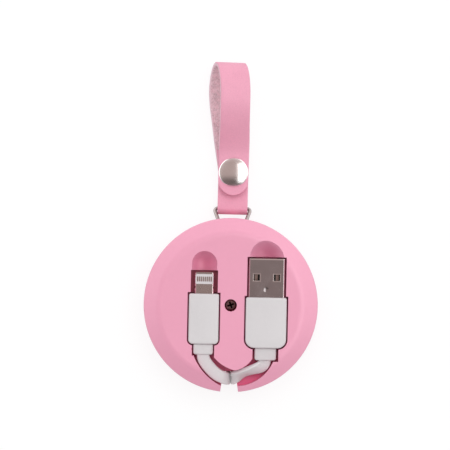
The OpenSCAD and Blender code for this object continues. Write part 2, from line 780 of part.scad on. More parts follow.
module phone_lead() {
    color(cable_white) flat_lead(phone_route, phone_width);
}

// USB plug
module in_usb() {
    translate([usb_x, 0, usb_mid_z]) children();
}

// Moulded sleeve that the end of the cable sits in, at the distance x from its axis
module relief(w, t, top, l, x = 0) {
    seat = 1.3;
    difference() {
        soft_block(w, top, l, t, 0.8, 0.4);
        translate([x, top - l, 0])
            cube([cable_w + 2 * cable_gap, 2 * seat, cable_t + 2 * cable_gap], center = true);
    }
}

module usb_strain_relief() {
    color(cable_white) in_usb()
        relief(usb_relief_w, usb_relief_t, usb_end_y, usb_relief_l, usb_route[0][0] - usb_x);
}

module usb_grip() {
    color(cable_white) in_usb() difference() {
        soft_block(usb_grip_w, usb_grip_y, usb_grip_l, usb_grip_t, usb_grip_r);
        shell_block(usb_shell_w + 2 * root_gap, usb_shell_t + 2 * root_gap, usb_corner_r + root_gap,
            usb_grip_y - plug_root - root_gap, plug_root + 1);
    }
}

// Rounded bar along Y, w wide and t thick
module shell_block(w, t, r, y0, l) {
    translate([0, y0 + l, 0]) rotate([90, 0, 0]) linear_extrude(l) {
        square([w - 2 * r, t], center = true);
        square([w, t - 2 * r], center = true);
        for (x = [-1, 1]) for (y = [-1, 1]) translate([x * (w / 2 - r), y * (t / 2 - r)])
            circle(r, $fn = small_fn);
    }
}

module usb_shell() {
    ball_r = (dimple_d * dimple_d / 4 + dimple_depth * dimple_depth) / (2 * dimple_depth);
    color(steel) in_usb() difference() {
        shell_block(usb_shell_w, usb_shell_t, usb_corner_r, usb_grip_y - plug_root, usb_shell_l + plug_root);
        shell_block(usb_shell_w - 2 * usb_wall, usb_shell_t - 2 * usb_wall, usb_corner_r - usb_wall,
            usb_grip_y - plug_root - 1, usb_shell_l + plug_root + 2);
        for (s = [-1, 1]) translate([s * window_x, usb_tip_y - window_from_tip, 0])
            cube([window_s, window_s, far], center = true);
        translate([0, usb_tip_y - dimple_from_tip, usb_shell_t / 2 + ball_r - dimple_depth])
            sphere(ball_r, $fn = round_fn);
    }
}

module usb_tongue() {
    w = usb_shell_w - 2 * usb_wall - 0.3;
    root_t = usb_shell_t - 2 * usb_wall - 0.2;
    color(black_plastic) in_usb() difference() {
        union() {
            translate([-w / 2, usb_grip_y - plug_root, tongue_z])
                cube([w, usb_shell_l + plug_root - tongue_back, tongue_t]);
            translate([-w / 2, usb_grip_y - plug_root, tongue_z]) cube([w, plug_root + 0.9, root_t]);
        }
        contact_strips(0.02);
    }
}

// Four contacts on the tongue, the outer two longer
module contact_strips(gap) {
    front = usb_tip_y - tongue_back;
    strip = 1;
    for (s = [-1, 1]) for (c = [[outer_contact_x, 1.2], [inner_contact_x, 2.1]])
        translate([s * c[0] - strip / 2 - gap, usb_grip_y + 1, tongue_z + tongue_t - 0.15 - gap])
            cube([strip + 2 * gap, front - c[1] - usb_grip_y - 1 + gap, 0.2 + gap]);
}

module usb_contacts() {
    color(gold) in_usb() contact_strips(0);
}

// Phone plug
module in_phone() {
    translate([-phone_x, 0, phone_mid_z]) children();
}

module phone_strain_relief() {
    color(cable_white) in_phone() relief(phone_relief_w, phone_relief_t, phone_end_y, phone_relief_l);
}

module phone_grip() {
    color(cable_white) in_phone() difference() {
        soft_block(phone_grip_w, phone_grip_y, phone_grip_l, phone_grip_t, phone_grip_r);
        tab_blank(root_gap);
    }
}

// Flat tab with round side edges and a rounded tip, and its hidden root in the grip
module tab_blank(gap = 0) {
    r = tab_t / 2;
    root_y = phone_grip_y - plug_root - gap;
    length = tab_l + plug_root + gap;
    side = tab_w / 2 - r;
    translate([-side, root_y, -r - gap]) cube([2 * side, length, tab_t + 2 * gap]);
    for (s = [-1, 1]) translate([s * side, root_y + length, 0]) rotate([90, 0, 0])
        cylinder(h = length, r = r + gap, $fn = small_fn);
}

module phone_tab() {
    tip_r = 1;
    color(steel) in_phone() difference() {
        tab_blank();
        block_space(0.02);
        for (s = [-1, 1]) {
            translate([s * tab_w / 2, phone_grip_y + 2.2, -far / 2])
                cylinder(h = far, r = 0.45, $fn = small_fn);
            translate([s * (tab_w / 2 - tip_r), phone_tip_y - tip_r, -far / 2]) difference() {
                translate([s > 0 ? 0 : -2 * tip_r, 0, 0]) cube([2 * tip_r, 2 * tip_r, far]);
                cylinder(h = far, r = tip_r, $fn = small_fn);
            }
        }
    }
}

// Space of the contact block, which goes right through the tab
module block_space(gap) {
    y0 = phone_tip_y - block_from_tip - block_l;
    r = 0.45;
    translate([0, 0, -tab_t / 2 - gap]) linear_extrude(tab_t + 2 * gap)
        translate([0, y0 - gap]) {
            translate([-block_w / 2 - gap, r]) square([block_w + 2 * gap, block_l + 2 * gap - 2 * r]);
            translate([r - block_w / 2 - gap, 0]) square([block_w + 2 * gap - 2 * r, block_l + 2 * gap]);
            for (x = [-1, 1]) for (y = [r, block_l + 2 * gap - r])
                translate([x * (block_w / 2 + gap - r), y]) circle(r, $fn = small_fn);
        }
}

module phone_contact_block() {
    color(cable_white) in_phone() difference() {
        block_space(0);
        contact_row(0.02);
    }
}

// Row of contacts on both faces of the tab, flush with it
module contact_row(gap) {
    depth = 0.2;
    y = phone_tip_y - block_from_tip - block_l / 2;
    for (i = [0 : contact_count - 1]) for (s = [-1, 1])
        translate([(i - (contact_count - 1) / 2) * contact_pitch, y, s * (tab_t - depth) / 2])
            cube([contact_w + 2 * gap, contact_l + 2 * gap, depth + 2 * gap], center = true);
}

module phone_contacts() {
    color(gold) in_phone() contact_row(0);
}

// Ring, in its own plane: the case's bar lies on X and the strap's bar at y = ring_l
module in_ring() {
    translate([0, pivot_y, split_z]) rotate([-ring_droop, 0, 0]) children();
}

module wire_ring() {
    p = [[-lug_bar, 0], [lug_bar, 0], [strap_bar, ring_l], [-strap_bar, ring_l]];
    color(nickel) in_ring() for (i = [0 : 3]) {
        bend(p[(i + 3) % 4], p[i], p[(i + 1) % 4]);
        straight(p[(i + 3) % 4], p[i], p[(i + 1) % 4], p[(i + 2) % 4]);
    }
}

function trim(a, b, c) = let (half = acos(unit(a - b) * unit(c - b)) / 2) ring_bend / tan(half);

// Round wire from b towards c, shortened at both ends by the bends there
module straight(a, b, c, d) {
    u = unit(c - b);
    start = trim(a, b, c);
    length = norm(c - b) - start - trim(b, c, d);
    translate([b[0] + u[0] * start, b[1] + u[1] * start, 0]) rotate([0, 90, atan2(u[1], u[0])])
        cylinder(h = length, r = wire_d / 2, $fn = small_fn);
}

// Bend of the wire round the corner b
module bend(a, b, c) {
    u = unit(a - b);
    v = unit(c - b);
    half = acos(u * v) / 2;
    o = b + unit(u + v) * ring_bend / sin(half);
    p = b + u * ring_bend / tan(half) - o;
    translate([o[0], o[1], 0]) rotate([0, 0, atan2(p[1], p[0])])
        rotate_extrude(angle = 180 - 2 * half, $fn = small_fn)
            translate([ring_bend, 0]) circle(wire_d / 2, $fn = small_fn);
}

// Strap, in its own frame: origin at the middle of the ring's bar, Y along the strap
module in_strap() {
    translate([0, bar_y, bar_z]) rotate([0, 0, strap_lean]) children();
}

// Middle line of the leather as [y, z], from the end under the flap to the flap's rounded end
crest_y = loop_y - leather_t / 2 - crest_l;
crest_z = low_z + loop_gap / 2 + leather_t / 2;
crest_rise = crest_z - low_z;
flap_end = stud_y - flap_l;
fold_out = 7;
rise_from = stud_y + cap_d / 2 + 0.3;
short_line = [for (y = concat([stud_y + short_l, rise_from, stud_y], fold_out / 5 * [5, 4, 3, 2, 1]))
    [y, mix(fold_r, mid_z, ease(y / fold_out))]];
fold_line = [for (a = [90 : 22.5 : 270]) fold_r * [cos(a), sin(a)]];
low_line = [for (y = concat(stud_y / 3 * [1, 2, 3], [for (i = [0 : 3]) mix(rise_from, crest_y, i / 4)]))
    [y, low_z]];
crest_line = [for (a = [-90 : 11.25 : 90]) [crest_y + crest_l * cos(a), crest_z + crest_rise * sin(a)]];
slope_line = [for (i = [1 : 8])
    [mix(crest_y, rise_from, i / 9), mix(crest_z + crest_rise, flap_z, ease(i / 9))]];
round_n = 6;
turn_lift = strap_w / 2 - 1.5;
twist_l = 12;
flap_line = concat([[rise_from, flap_z], [stud_y, flap_z]],
    [for (i = [0 : round_n]) [flap_end + strap_w / 2 * (1 - sin(90 * i / round_n)), flap_z]]);
leather_line = concat(short_line, fold_line, low_line, crest_line, slope_line, flap_line);

// Width of the leather at the ring i, which gets less round the flap's end
function leather_width(i) =
    let (k = i - (len(leather_line) - 1 - round_n))
    k <= 0 ? strap_w : max(strap_w * cos(90 * k / round_n), 1.6);

// Loop turned about the line of its upper layer, with its low edge kept off the surface below
function upper_z(y) = mix(flap_z, crest_z + crest_rise, ease((y - rise_from) / (crest_y - rise_from)));
function run_off(y, depth) = loop_skew * max(min(y, crest_y) - stud_y, 0) / depth;
function turned(p) =
    let (a = loop_twist * ease((p[1] - rise_from) / twist_l), axis = upper_z(p[1]), up = p[2] - axis)
    [p[0] * cos(a) + up * run_off(p[1], axis - low_z), p[1],
        axis - p[0] * sin(a) + up * cos(a) + turn_lift * sin(a)];

module strap() {
    n = len(leather_line) - 1;
    rings = [for (i = [0 : n])
        let (c = leather_line[i], w = leather_width(i))
        let (t = unit(leather_line[min(i + 1, n)] - leather_line[max(i - 1, 0)]))
        [for (q = flat_ring([0, c[0], c[1]], [1, 0, 0], [0, -t[1], t[0]], w, leather_t)) turned(q)]];
    color(pink_leather) in_strap() difference() {
        skin(rings);
        translate([0, stud_y, -far / 2]) cylinder(h = far, r = stud_hole_d / 2, $fn = small_fn);
    }
}

// Press stud, seen from below upwards: eyelet, stud, socket and cap
module at_stud(z) {
    in_strap() translate([0, stud_y, z]) children();
}

low_face = low_z - leather_t / 2;
mid_face = mid_z + leather_t / 2;
flap_low = flap_z - leather_t / 2;
flap_top = flap_z + leather_t / 2;
tube_r = stud_hole_d / 2 - stud_clear;
tube_wall = 0.35;

module stud_eyelet() {
    top = mid_face - low_face + 0.9;
    edge_r = socket_d / 2;
    color(nickel) at_stud(low_face) rotate_extrude($fn = small_fn) polygon([
        [tube_r - tube_wall, -plate_t], [edge_r - 0.2, -plate_t], [edge_r, -plate_t / 2], [edge_r, 0],
        [tube_r, 0], [tube_r, top], [tube_r - tube_wall, top]]);
}

module stud_post() {
    bore = tube_r + stud_clear;
    edge_r = socket_d / 2 - 0.6;
    knob_r = knob_d / 2;
    knob_h = stud_gap / 2;
    neck_r = knob_r - 0.25;
    color(nickel) at_stud(mid_face) rotate_extrude($fn = small_fn) polygon([
        [bore, 0], [edge_r, 0], [edge_r, plate_t], [neck_r, plate_t],
        [neck_r, plate_t + knob_h / 4], [knob_r, plate_t + knob_h / 2], [knob_r, plate_t + knob_h * 3 / 4],
        [knob_r - 0.4, plate_t + knob_h], [bore, plate_t + knob_h]]);
}

module stud_socket() {
    inner = knob_d / 2 + stud_clear;
    bore = tube_r + stud_clear;
    edge_r = socket_d / 2;
    depth = stud_gap - plate_t - stud_clear;
    color(nickel) at_stud(flap_low) rotate_extrude($fn = small_fn) polygon([
        [bore, 0], [edge_r - 0.2, 0], [edge_r, -0.2], [edge_r, -plate_t], [inner + 1, -plate_t],
        [inner + 0.6, -depth], [inner, -depth], [inner, -plate_t], [bore, -plate_t]]);
}

module stud_cap() {
    dome_r = (cap_d * cap_d / 4 + cap_h * cap_h) / (2 * cap_h);
    steps = 8;
    edge_a = asin(cap_d / 2 / dome_r);
    foot = -leather_t - plate_t - 0.1;
    middle = [0, cap_h + cap_t - dome_r];
    dome = [for (i = [0 : steps]) let (a = edge_a * i / steps) dome_r * [sin(a), cos(a)] + middle];
    color(nickel) at_stud(flap_top) rotate_extrude($fn = round_fn) polygon(concat(dome,
        [[cap_d / 2, 0], [tube_r, 0], [tube_r, foot], [tube_r - tube_wall, foot],
            [tube_r - tube_wall, cap_t], [0, cap_t]]));
}

back_shell();
front_shell();
centre_screw();
reel();
reel_cover();
power_spring();
ratchet_ball();
cable_coil();
usb_lead();
usb_strain_relief();
usb_grip();
usb_shell();
usb_tongue();
usb_contacts();
phone_lead();
phone_strain_relief();
phone_grip();
phone_tab();
phone_contact_block();
phone_contacts();
wire_ring();
strap();
stud_cap();
stud_socket();
stud_post();
stud_eyelet();
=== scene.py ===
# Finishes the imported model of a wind-up charging cable: case, plugs, flat leads and leather strap.
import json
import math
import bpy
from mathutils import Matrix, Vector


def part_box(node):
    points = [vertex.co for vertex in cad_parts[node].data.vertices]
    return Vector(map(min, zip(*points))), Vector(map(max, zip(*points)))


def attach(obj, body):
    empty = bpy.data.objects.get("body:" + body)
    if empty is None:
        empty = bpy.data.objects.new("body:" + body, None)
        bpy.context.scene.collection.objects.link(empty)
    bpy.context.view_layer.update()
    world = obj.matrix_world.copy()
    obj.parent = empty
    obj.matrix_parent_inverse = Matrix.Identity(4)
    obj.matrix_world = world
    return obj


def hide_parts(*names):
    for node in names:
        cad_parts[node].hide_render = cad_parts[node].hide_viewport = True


bl_info = {
    "name": "Wind-up Cable Case",
    "version": (1, 0, 0),
    "blender": (4, 5, 0),
    "location": "3D View > Sidebar > Cable Case",
    "description": "Finishes and materials for a wind-up charging cable in a round case",
    "category": "Object",
}

import bpy
from mathutils import Matrix, Vector

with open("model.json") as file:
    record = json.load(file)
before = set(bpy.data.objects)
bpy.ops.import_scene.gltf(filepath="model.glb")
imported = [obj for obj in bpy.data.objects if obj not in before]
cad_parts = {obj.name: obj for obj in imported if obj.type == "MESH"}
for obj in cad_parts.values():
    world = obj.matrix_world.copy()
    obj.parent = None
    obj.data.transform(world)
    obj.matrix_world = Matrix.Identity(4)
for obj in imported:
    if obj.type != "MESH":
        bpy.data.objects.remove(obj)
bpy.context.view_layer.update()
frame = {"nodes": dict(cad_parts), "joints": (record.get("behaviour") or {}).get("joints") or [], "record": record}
MM = 0.001


# Settings
class CableCaseSettings(bpy.types.PropertyGroup):
    case_colour: bpy.props.FloatVectorProperty(
        name="Case colour", description="Pink of the moulded case", subtype="COLOR",
        size=3, min=0, max=1, default=(0.868, 0.352, 0.500))
    leather_colour: bpy.props.FloatVectorProperty(
        name="Leather colour", description="Pink of the strap's grain side", subtype="COLOR",
        size=3, min=0, max=1, default=(0.860, 0.378, 0.508))
    suede_colour: bpy.props.FloatVectorProperty(
        name="Suede colour", description="Colour of the strap's raw side", subtype="COLOR",
        size=3, min=0, max=1, default=(0.84, 0.50, 0.57))
    white_colour: bpy.props.FloatVectorProperty(
        name="Plug colour", description="White of the grips and the cable", subtype="COLOR",
        size=3, min=0, max=1, default=(0.74, 0.71, 0.72))
    edge_round: bpy.props.FloatProperty(
        name="Edge rounding", description="Radius of the moulded edges of the case",
        subtype="DISTANCE", unit="LENGTH", default=0.2 * MM, min=0, max=0.5 * MM)
    grain_size: bpy.props.FloatProperty(
        name="Grain size", description="Size of the pebbles in the leather's grain",
        subtype="DISTANCE", unit="LENGTH", default=0.35 * MM, min=0.1 * MM, max=2 * MM)
    key_power: bpy.props.FloatProperty(
        name="Key light", description="Power of the large lamp beyond the strap",
        subtype="POWER", unit="POWER", default=2.2, min=0, max=100)
    card_power: bpy.props.FloatProperty(
        name="Card light", description="Power of the card that shines in the metal at the right",
        subtype="POWER", unit="POWER", default=2.7, min=0, max=100)
    room_level: bpy.props.FloatProperty(
        name="Room light", description="Strength of the room's even light",
        default=0.80, min=0, max=2)
    wall_level: bpy.props.FloatProperty(
        name="Wall light", description="Strength of the bright walls that shiny surfaces reflect",
        default=2.0, min=0, max=5)
    ceiling_colour: bpy.props.FloatVectorProperty(
        name="Ceiling colour", description="Warm shade overhead that shiny surfaces reflect",
        subtype="COLOR", size=3, min=0, max=1, default=(0.45, 0.34, 0.325))


def settings():
    """The scene's settings, which the panel shows."""
    return bpy.context.scene.cable_case


# Tones that the materials lay over their base colours: painted shade in the case's hollows and in the screw's
# cross recess, painted highlights on the plug metal and the screw head, and the leather's own pale fibres and
# layers
HOLLOW_PAINTED_SHADE = (0.64, 0.13, 0.25)
DEEP_PAINTED_SHADE = (0.92, 0.11, 0.29)
TAB_POCKET_PAINTED_SHADE = (0.30, 0.025, 0.06)
SHELL_PAINTED_HIGHLIGHT = (0.95, 0.93, 0.92)
WINDOW_PAINTED_HIGHLIGHT = (0.90, 0.86, 0.84)
TAB_PAINTED_HIGHLIGHT = (1.0, 0.94, 0.92)
SCREW_PAINTED_HIGHLIGHT = (0.46, 0.36, 0.36)
RECESS_PAINTED_SHADE = (0.012, 0.008, 0.008)
PALE_FIBRE = (0.95, 0.76, 0.81)
PALE_LAYER = (0.92, 0.66, 0.74)

# Places on the part that the materials measure from
FACE_FLAT_R = 24 * MM
FACE_SLOPE = 0.64
FACE_Z = 18 * MM
FACE_R = 28.6 * MM
WINDOW_ASIDE = 3.35 * MM
WINDOW_FROM_TIP = 6.3 * MM
WINDOW_SIDE = 2.1 * MM
RECESS_R = 1.3 * MM
RECESS_DROP = 0.3 * MM

# Bands over which the painted shade and the painted highlights set in: depths in the case, and distances past a
# side or an edge
HOLLOW_BAND = (0.4 * MM, 3.4 * MM)
DEEP_BAND = (3.5 * MM, 4.4 * MM)
RIM_BAND = (-0.5 * MM, -0.3 * MM)
WINDOW_BAND = (0.15 * MM, 0.4 * MM)
TAB_BAND = (-0.75 * MM, -0.45 * MM)


# Materials
class Recipe:
    """A node material under construction."""

    def __init__(self, name, colour, roughness, metallic=0.0):
        self.material = bpy.data.materials.new(name)
        self.material.use_nodes = True
        self.tree = self.material.node_tree
        self.shader = self.tree.nodes["Principled BSDF"]
        self.shader.inputs["Base Color"].default_value = (*colour, 1)
        self.shader.inputs["Roughness"].default_value = roughness
        self.shader.inputs["Metallic"].default_value = metallic
        self.place = self.tree.nodes.new("ShaderNodeTexCoord").outputs["Object"]
        self.normal = None

    def join(self, a, b):
        """Links an output to an input."""
        self.tree.links.new(a, b)

    def set(self, **values):
        """Sets inputs of the shader by their names."""
        for key, value in values.items():
            self.shader.inputs[key.replace("_", " ")].default_value = value

    def stretched(self, scale, turn=(0, 0, 0)):
        """The object's own place, scaled and turned."""
        node = self.tree.nodes.new("ShaderNodeMapping")
        node.inputs["Scale"].default_value = scale
        node.inputs["Rotation"].default_value = turn
        self.join(self.place, node.inputs["Vector"])
        return node.outputs["Vector"]

    def noise(self, size, detail=3, rough=0.55, place=None, bend=0.0):
        """Clouds of the given size."""
        node = self.tree.nodes.new("ShaderNodeTexNoise")
        node.inputs["Scale"].default_value = 1 / size
        node.inputs["Detail"].default_value = detail
        node.inputs["Roughness"].default_value = rough
        node.inputs["Distortion"].default_value = bend
        self.join(place or self.place, node.inputs["Vector"])
        return node.outputs["Fac"]

    def cells(self, size, feature="F1"):
        """Distances in a pattern of pebbles of the given size."""
        node = self.tree.nodes.new("ShaderNodeTexVoronoi")
        node.feature = feature
        node.inputs["Scale"].default_value = 1 / size
        self.join(self.place, node.inputs["Vector"])
        return node.outputs["Distance"]

    def graded(self, value, low, high, start=0.35, end=0.65):
        """Goes from low to high while the value goes from start to end."""
        node = self.tree.nodes.new("ShaderNodeMapRange")
        node.inputs["From Min"].default_value = start
        node.inputs["From Max"].default_value = end
        node.inputs["To Min"].default_value = low
        node.inputs["To Max"].default_value = high
        self.join(value, node.inputs["Value"])
        return node.outputs["Result"]

    def calc(self, kind, a, b=0):
        """One step of arithmetic between two values or numbers."""
        node = self.tree.nodes.new("ShaderNodeMath")
        node.operation = kind
        for i, v in enumerate((a, b)):
            if isinstance(v, (int, float)):
                node.inputs[i].default_value = v
            else:
                self.join(v, node.inputs[i])
        return node.outputs["Value"]

    def away(self, value, middle):
        """How far a value lies from a middle, to either side."""
        return self.calc("ABSOLUTE", self.calc("SUBTRACT", value, middle))

    def axes(self):
        """The place along X, Y and Z, and the distance from the Z axis."""
        parts = self.tree.nodes.new("ShaderNodeSeparateXYZ")
        self.join(self.place, parts.inputs["Vector"])
        x, y, z = parts.outputs
        square = self.calc("ADD", self.calc("MULTIPLY", x, x), self.calc("MULTIPLY", y, y))
        return x, y, z, self.calc("POWER", square, 0.5)

    def tint(self, mask, colour):
        """Lays a colour over the base where the mask is high."""
        node = self.tree.nodes.new("ShaderNodeMix")
        node.data_type = "RGBA"
        base = self.shader.inputs["Base Color"]
        if base.is_linked:
            self.join(base.links[0].from_socket, node.inputs["A"])
        else:
            node.inputs["A"].default_value = base.default_value
        node.inputs["B"].default_value = (*colour, 1)
        self.join(mask, node.inputs["Factor"])
        self.join(node.outputs["Result"], base)

    def rough(self, value):
        """Lets a value drive the roughness."""
        self.join(value, self.shader.inputs["Roughness"])

    def bump(self, height, strength, distance):
        """Adds one more layer of relief."""
        node = self.tree.nodes.new("ShaderNodeBump")
        node.inputs["Strength"].default_value = strength
        node.inputs["Distance"].default_value = distance
        self.join(height, node.inputs["Height"])
        if self.normal is not None:
            self.join(self.normal, node.inputs["Normal"])
        self.normal = node.outputs["Normal"]
        self.join(self.normal, self.shader.inputs["Normal"])


def shade(colour, factor):
    """A colour made darker or lighter."""
    return tuple(min(c * factor, 1) for c in colour)


def moulded_plastic(name, colour, roughness=0.42, cloud=0.05):
    """Plastic with faint clouds and a fine sheen."""
    m = Recipe(name, colour, roughness)
    m.set(IOR=1.49)
    m.tint(m.graded(m.noise(14 * MM, 2), 0, 1), shade(colour, 1 - cloud))
    m.tint(m.graded(m.noise(1.1 * MM, 4), 0, 0.5), shade(colour, 1 + cloud * 0.6))
    m.rough(m.graded(m.noise(2.5 * MM, 5, 0.7), roughness - 0.05, roughness + 0.08))
    m.bump(m.noise(0.25 * MM, 2), 0.12, 0.02 * MM)
    return m


def front_plastic(name, colour):
    """Case plastic with painted shade: darker, deeper pink where it lies below the flat face and its slope, more
    so in the deep gaps and the tab's pocket.
    """
    m = moulded_plastic(name, colour, cloud=0.02)
    m.set(IOR=1.8)
    x, y, z, r = m.axes()
    past_flat = m.calc("MAXIMUM", m.calc("SUBTRACT", r, FACE_FLAT_R))
    face = m.calc("SUBTRACT", FACE_Z, m.calc("MULTIPLY", past_flat, FACE_SLOPE))
    depth = m.calc("SUBTRACT", face, z)
    inside = m.calc("LESS_THAN", r, FACE_R)
    # Painted shade: darker pink a little below the face, in the hollows of the case
    hollow = m.graded(depth, 0, 0.9, *HOLLOW_BAND)
    m.tint(m.calc("MULTIPLY", hollow, inside), HOLLOW_PAINTED_SHADE)
    # Painted shade and painted pink bounce light: vivid dark pink deep down in the gaps round the plugs
    deep = m.calc("MULTIPLY", m.graded(depth, 0, 1, *DEEP_BAND), inside)
    m.tint(m.calc("MULTIPLY", deep, 0.85), DEEP_PAINTED_SHADE)
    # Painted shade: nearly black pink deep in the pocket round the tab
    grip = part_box("phone_grip")[1]
    beside = m.calc("LESS_THAN", x, grip.x)
    beyond = m.calc("GREATER_THAN", y, grip.y)
    tab_pocket = m.calc("MULTIPLY", beside, beyond)
    m.tint(m.calc("MULTIPLY", deep, tab_pocket), TAB_POCKET_PAINTED_SHADE)
    return m


def metal(name, colour, roughness, grain=(1, 1, 1), size=0.5 * MM, wear=0.12):
    """Metal with a worn grain that can be stretched."""
    m = Recipe(name, colour, roughness, 1.0)
    lines = m.noise(size, 4, 0.7, m.stretched(grain))
    m.tint(m.graded(lines, 0, wear), shade(colour, 0.6))
    m.tint(m.graded(m.noise(4 * MM, 2), 0, 0.35), shade(colour, 1.2))
    m.rough(m.graded(lines, roughness * 0.9, roughness * 1.15))
    m.bump(lines, 0.04, 0.01 * MM)
    return m


def shell_steel(name, colour):
    """Plug steel with painted highlights along its folded sides, its front edge and round its two windows."""
    m = metal(name, colour, 0.22, (0.12, 1, 1), 0.25 * MM)
    low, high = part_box("usb_shell")
    x, y, _, _ = m.axes()
    # Painted highlights: lighter steel along the folded sides and the front edge
    aside = m.away(x, (low.x + high.x) / 2)
    past_side = m.calc("SUBTRACT", aside, (high.x - low.x) / 2)
    past_front = m.calc("SUBTRACT", y, high.y)
    rims = m.graded(m.calc("MAXIMUM", past_side, past_front), 0, 0.85, *RIM_BAND)
    m.tint(rims, SHELL_PAINTED_HIGHLIGHT)
    # Painted highlights: lighter frames round the two windows
    across = m.away(aside, WINDOW_ASIDE)
    along = m.away(past_front, -WINDOW_FROM_TIP)
    past_window = m.calc("SUBTRACT", m.calc("MAXIMUM", across, along), WINDOW_SIDE / 2)
    m.tint(m.graded(past_window, 0.6, 0, *WINDOW_BAND), WINDOW_PAINTED_HIGHLIGHT)
    return m


def tab_steel(name, colour):
    """Tab metal with painted highlights along its rounded sides."""
    m = metal(name, colour, 0.24, (1, 0.2, 1), 0.3 * MM)
    low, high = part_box("phone_tab")
    # Painted highlights: lighter metal along the rounded sides
    aside = m.away(m.axes()[0], (low.x + high.x) / 2)
    past_side = m.calc("SUBTRACT", aside, (high.x - low.x) / 2)
    m.tint(m.graded(past_side, 0, 1, *TAB_BAND), TAB_PAINTED_HIGHLIGHT)
    return m


def screw_steel(name, colour):
    """Dark plating with painted highlight specks, and painted shade in black down in the cross recess."""
    m = metal(name, colour, 0.34, size=0.4 * MM)
    # Painted highlights: bright specks scattered over the head
    m.tint(m.graded(m.noise(0.55 * MM, 3), 0, 0.8, 0.56, 0.64), SCREW_PAINTED_HIGHLIGHT)
    # Painted shade: black down in the cross recess
    _, _, z, r = m.axes()
    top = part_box("centre_screw")[1].z
    low = m.calc("LESS_THAN", z, top - RECESS_DROP)
    m.tint(m.calc("MULTIPLY", low, m.calc("LESS_THAN", r, RECESS_R)), RECESS_PAINTED_SHADE)
    return m


def leather(colour):
    """Grain side of the strap: small pebbles between creases."""
    grain = settings().grain_size
    m = Recipe("Grained pink leather", colour, 0.5)
    m.set(IOR=1.45)
    handled = m.noise(3 * MM, 2)
    pebbles = m.cells(grain)
    creases = m.cells(grain * 2.4, "DISTANCE_TO_EDGE")
    m.tint(m.graded(m.noise(6 * MM, 4), 0, 0.8), shade(colour, 0.95))
    m.tint(m.graded(creases, 0.35, 0, 0, 0.12), shade(colour, 0.82))
    m.tint(m.graded(m.noise(0.4 * MM, 3), 0, 0.35), shade(colour, 1.08))
    m.rough(m.graded(handled, 0.44, 0.6))
    m.bump(m.graded(pebbles, 1, 0, 0, 0.6), 0.25, 0.05 * MM)
    m.bump(m.graded(creases, 0, 1, 0, 0.1), 0.25, 0.04 * MM)
    return m


def suede(colour):
    """Raw side of the strap: napped fibres."""
    m = Recipe("Raw suede side", colour, 0.95)
    m.set(Sheen_Weight=0.3, Sheen_Roughness=0.5)
    fibres = m.noise(0.35 * MM, 8, 0.75, m.stretched((1, 0.45, 1), (0, 0, 0.5)), 1.5)
    m.tint(m.graded(m.noise(1.6 * MM, 6, 0.75), 0, 1, 0.42, 0.6), shade(colour, 0.66))
    m.tint(m.graded(fibres, 0, 0.9, 0.42, 0.62), PALE_FIBRE)
    m.bump(fibres, 0.9, 0.15 * MM)
    return m


def raw_edge(colour):
    """Cut edge of the strap, with the leather's layers."""
    m = Recipe("Cut leather edge", colour, 0.7)
    layers = m.noise(0.3 * MM, 5, 0.7, m.stretched((0.3, 0.3, 1.6)))
    m.tint(m.graded(layers, 0, 0.8), shade(colour, 0.72))
    m.tint(m.graded(m.noise(0.9 * MM, 3), 0, 0.5), PALE_LAYER)
    m.bump(layers, 0.5, 0.08 * MM)
    return m


def soft_jacket(name, colour):
    """Soft jacket of the cable."""
    m = Recipe(name, colour, 0.46)
    m.set(IOR=1.48, Sheen_Weight=0.08)
    m.tint(m.graded(m.noise(5 * MM, 3), 0, 0.9), shade(colour, 0.93))
    m.tint(m.graded(m.noise(0.5 * MM, 5, 0.7), 0, 0.4), shade(colour, 1.06))
    m.rough(m.graded(m.noise(1.2 * MM, 4), 0.4, 0.56))
    m.bump(m.noise(0.12 * MM, 3), 0.15, 0.02 * MM)
    return m


def make_materials():
    """All finishes by their keys."""
    s = settings()
    case = tuple(s.case_colour)
    white = tuple(s.white_colour)
    made = {
        "case": moulded_plastic("Pink case plastic", case, cloud=0.02),
        "case_front": front_plastic("Pink face plastic", case),
        "grip": moulded_plastic("White grip plastic", shade(white, 0.93), 0.38, 0.03),
        "jacket": soft_jacket("White cable jacket", white),
        "reel": moulded_plastic("Pale reel plastic", (0.66, 0.66, 0.64), 0.4, 0.06),
        "black": moulded_plastic("Black insert plastic", (0.018, 0.017, 0.018), 0.4, 0.2),
        "steel": shell_steel("Plated plug steel", (0.39, 0.37, 0.375)),
        "tab_steel": tab_steel("Tab steel", (0.51, 0.47, 0.45)),
        "dark": screw_steel("Dark screw steel", (0.24, 0.18, 0.18)),
        "spring": metal("Spring steel", (0.36, 0.37, 0.40), 0.3, (1, 1, 0.1), 0.4 * MM),
        "pale_gold": metal("Worn plating", (0.42, 0.34, 0.31), 0.35, (1, 0.3, 1), 0.2 * MM),
        "nickel": metal("Bright nickel", (0.90, 0.88, 0.86), 0.22, size=0.9 * MM, wear=0.08),
        "wire": metal("Ring nickel", (0.39, 0.345, 0.335), 0.20, size=0.9 * MM, wear=0.08),
        "leather": leather(tuple(s.leather_colour)),
        "suede": suede(tuple(s.suede_colour)),
        "edge": raw_edge((0.90, 0.62, 0.70)),
    }
    return {key: m.material for key, m in made.items()}


MATERIALS = {}


def finish_of(key):
    """A finish by its key. The first call makes them all."""
    if not MATERIALS:
        MATERIALS.update(make_materials())
    return MATERIALS[key]


# Mesh helpers
def alone(obj):
    """Makes an object the only selected one and the active one."""
    bpy.ops.object.select_all(action="DESELECT")
    obj.select_set(True)
    bpy.context.view_layer.objects.active = obj


def coat(obj, *keys):
    """Gives an object the finishes in place of its own."""
    obj.data.materials.clear()
    for key in keys:
        obj.data.materials.append(finish_of(key))


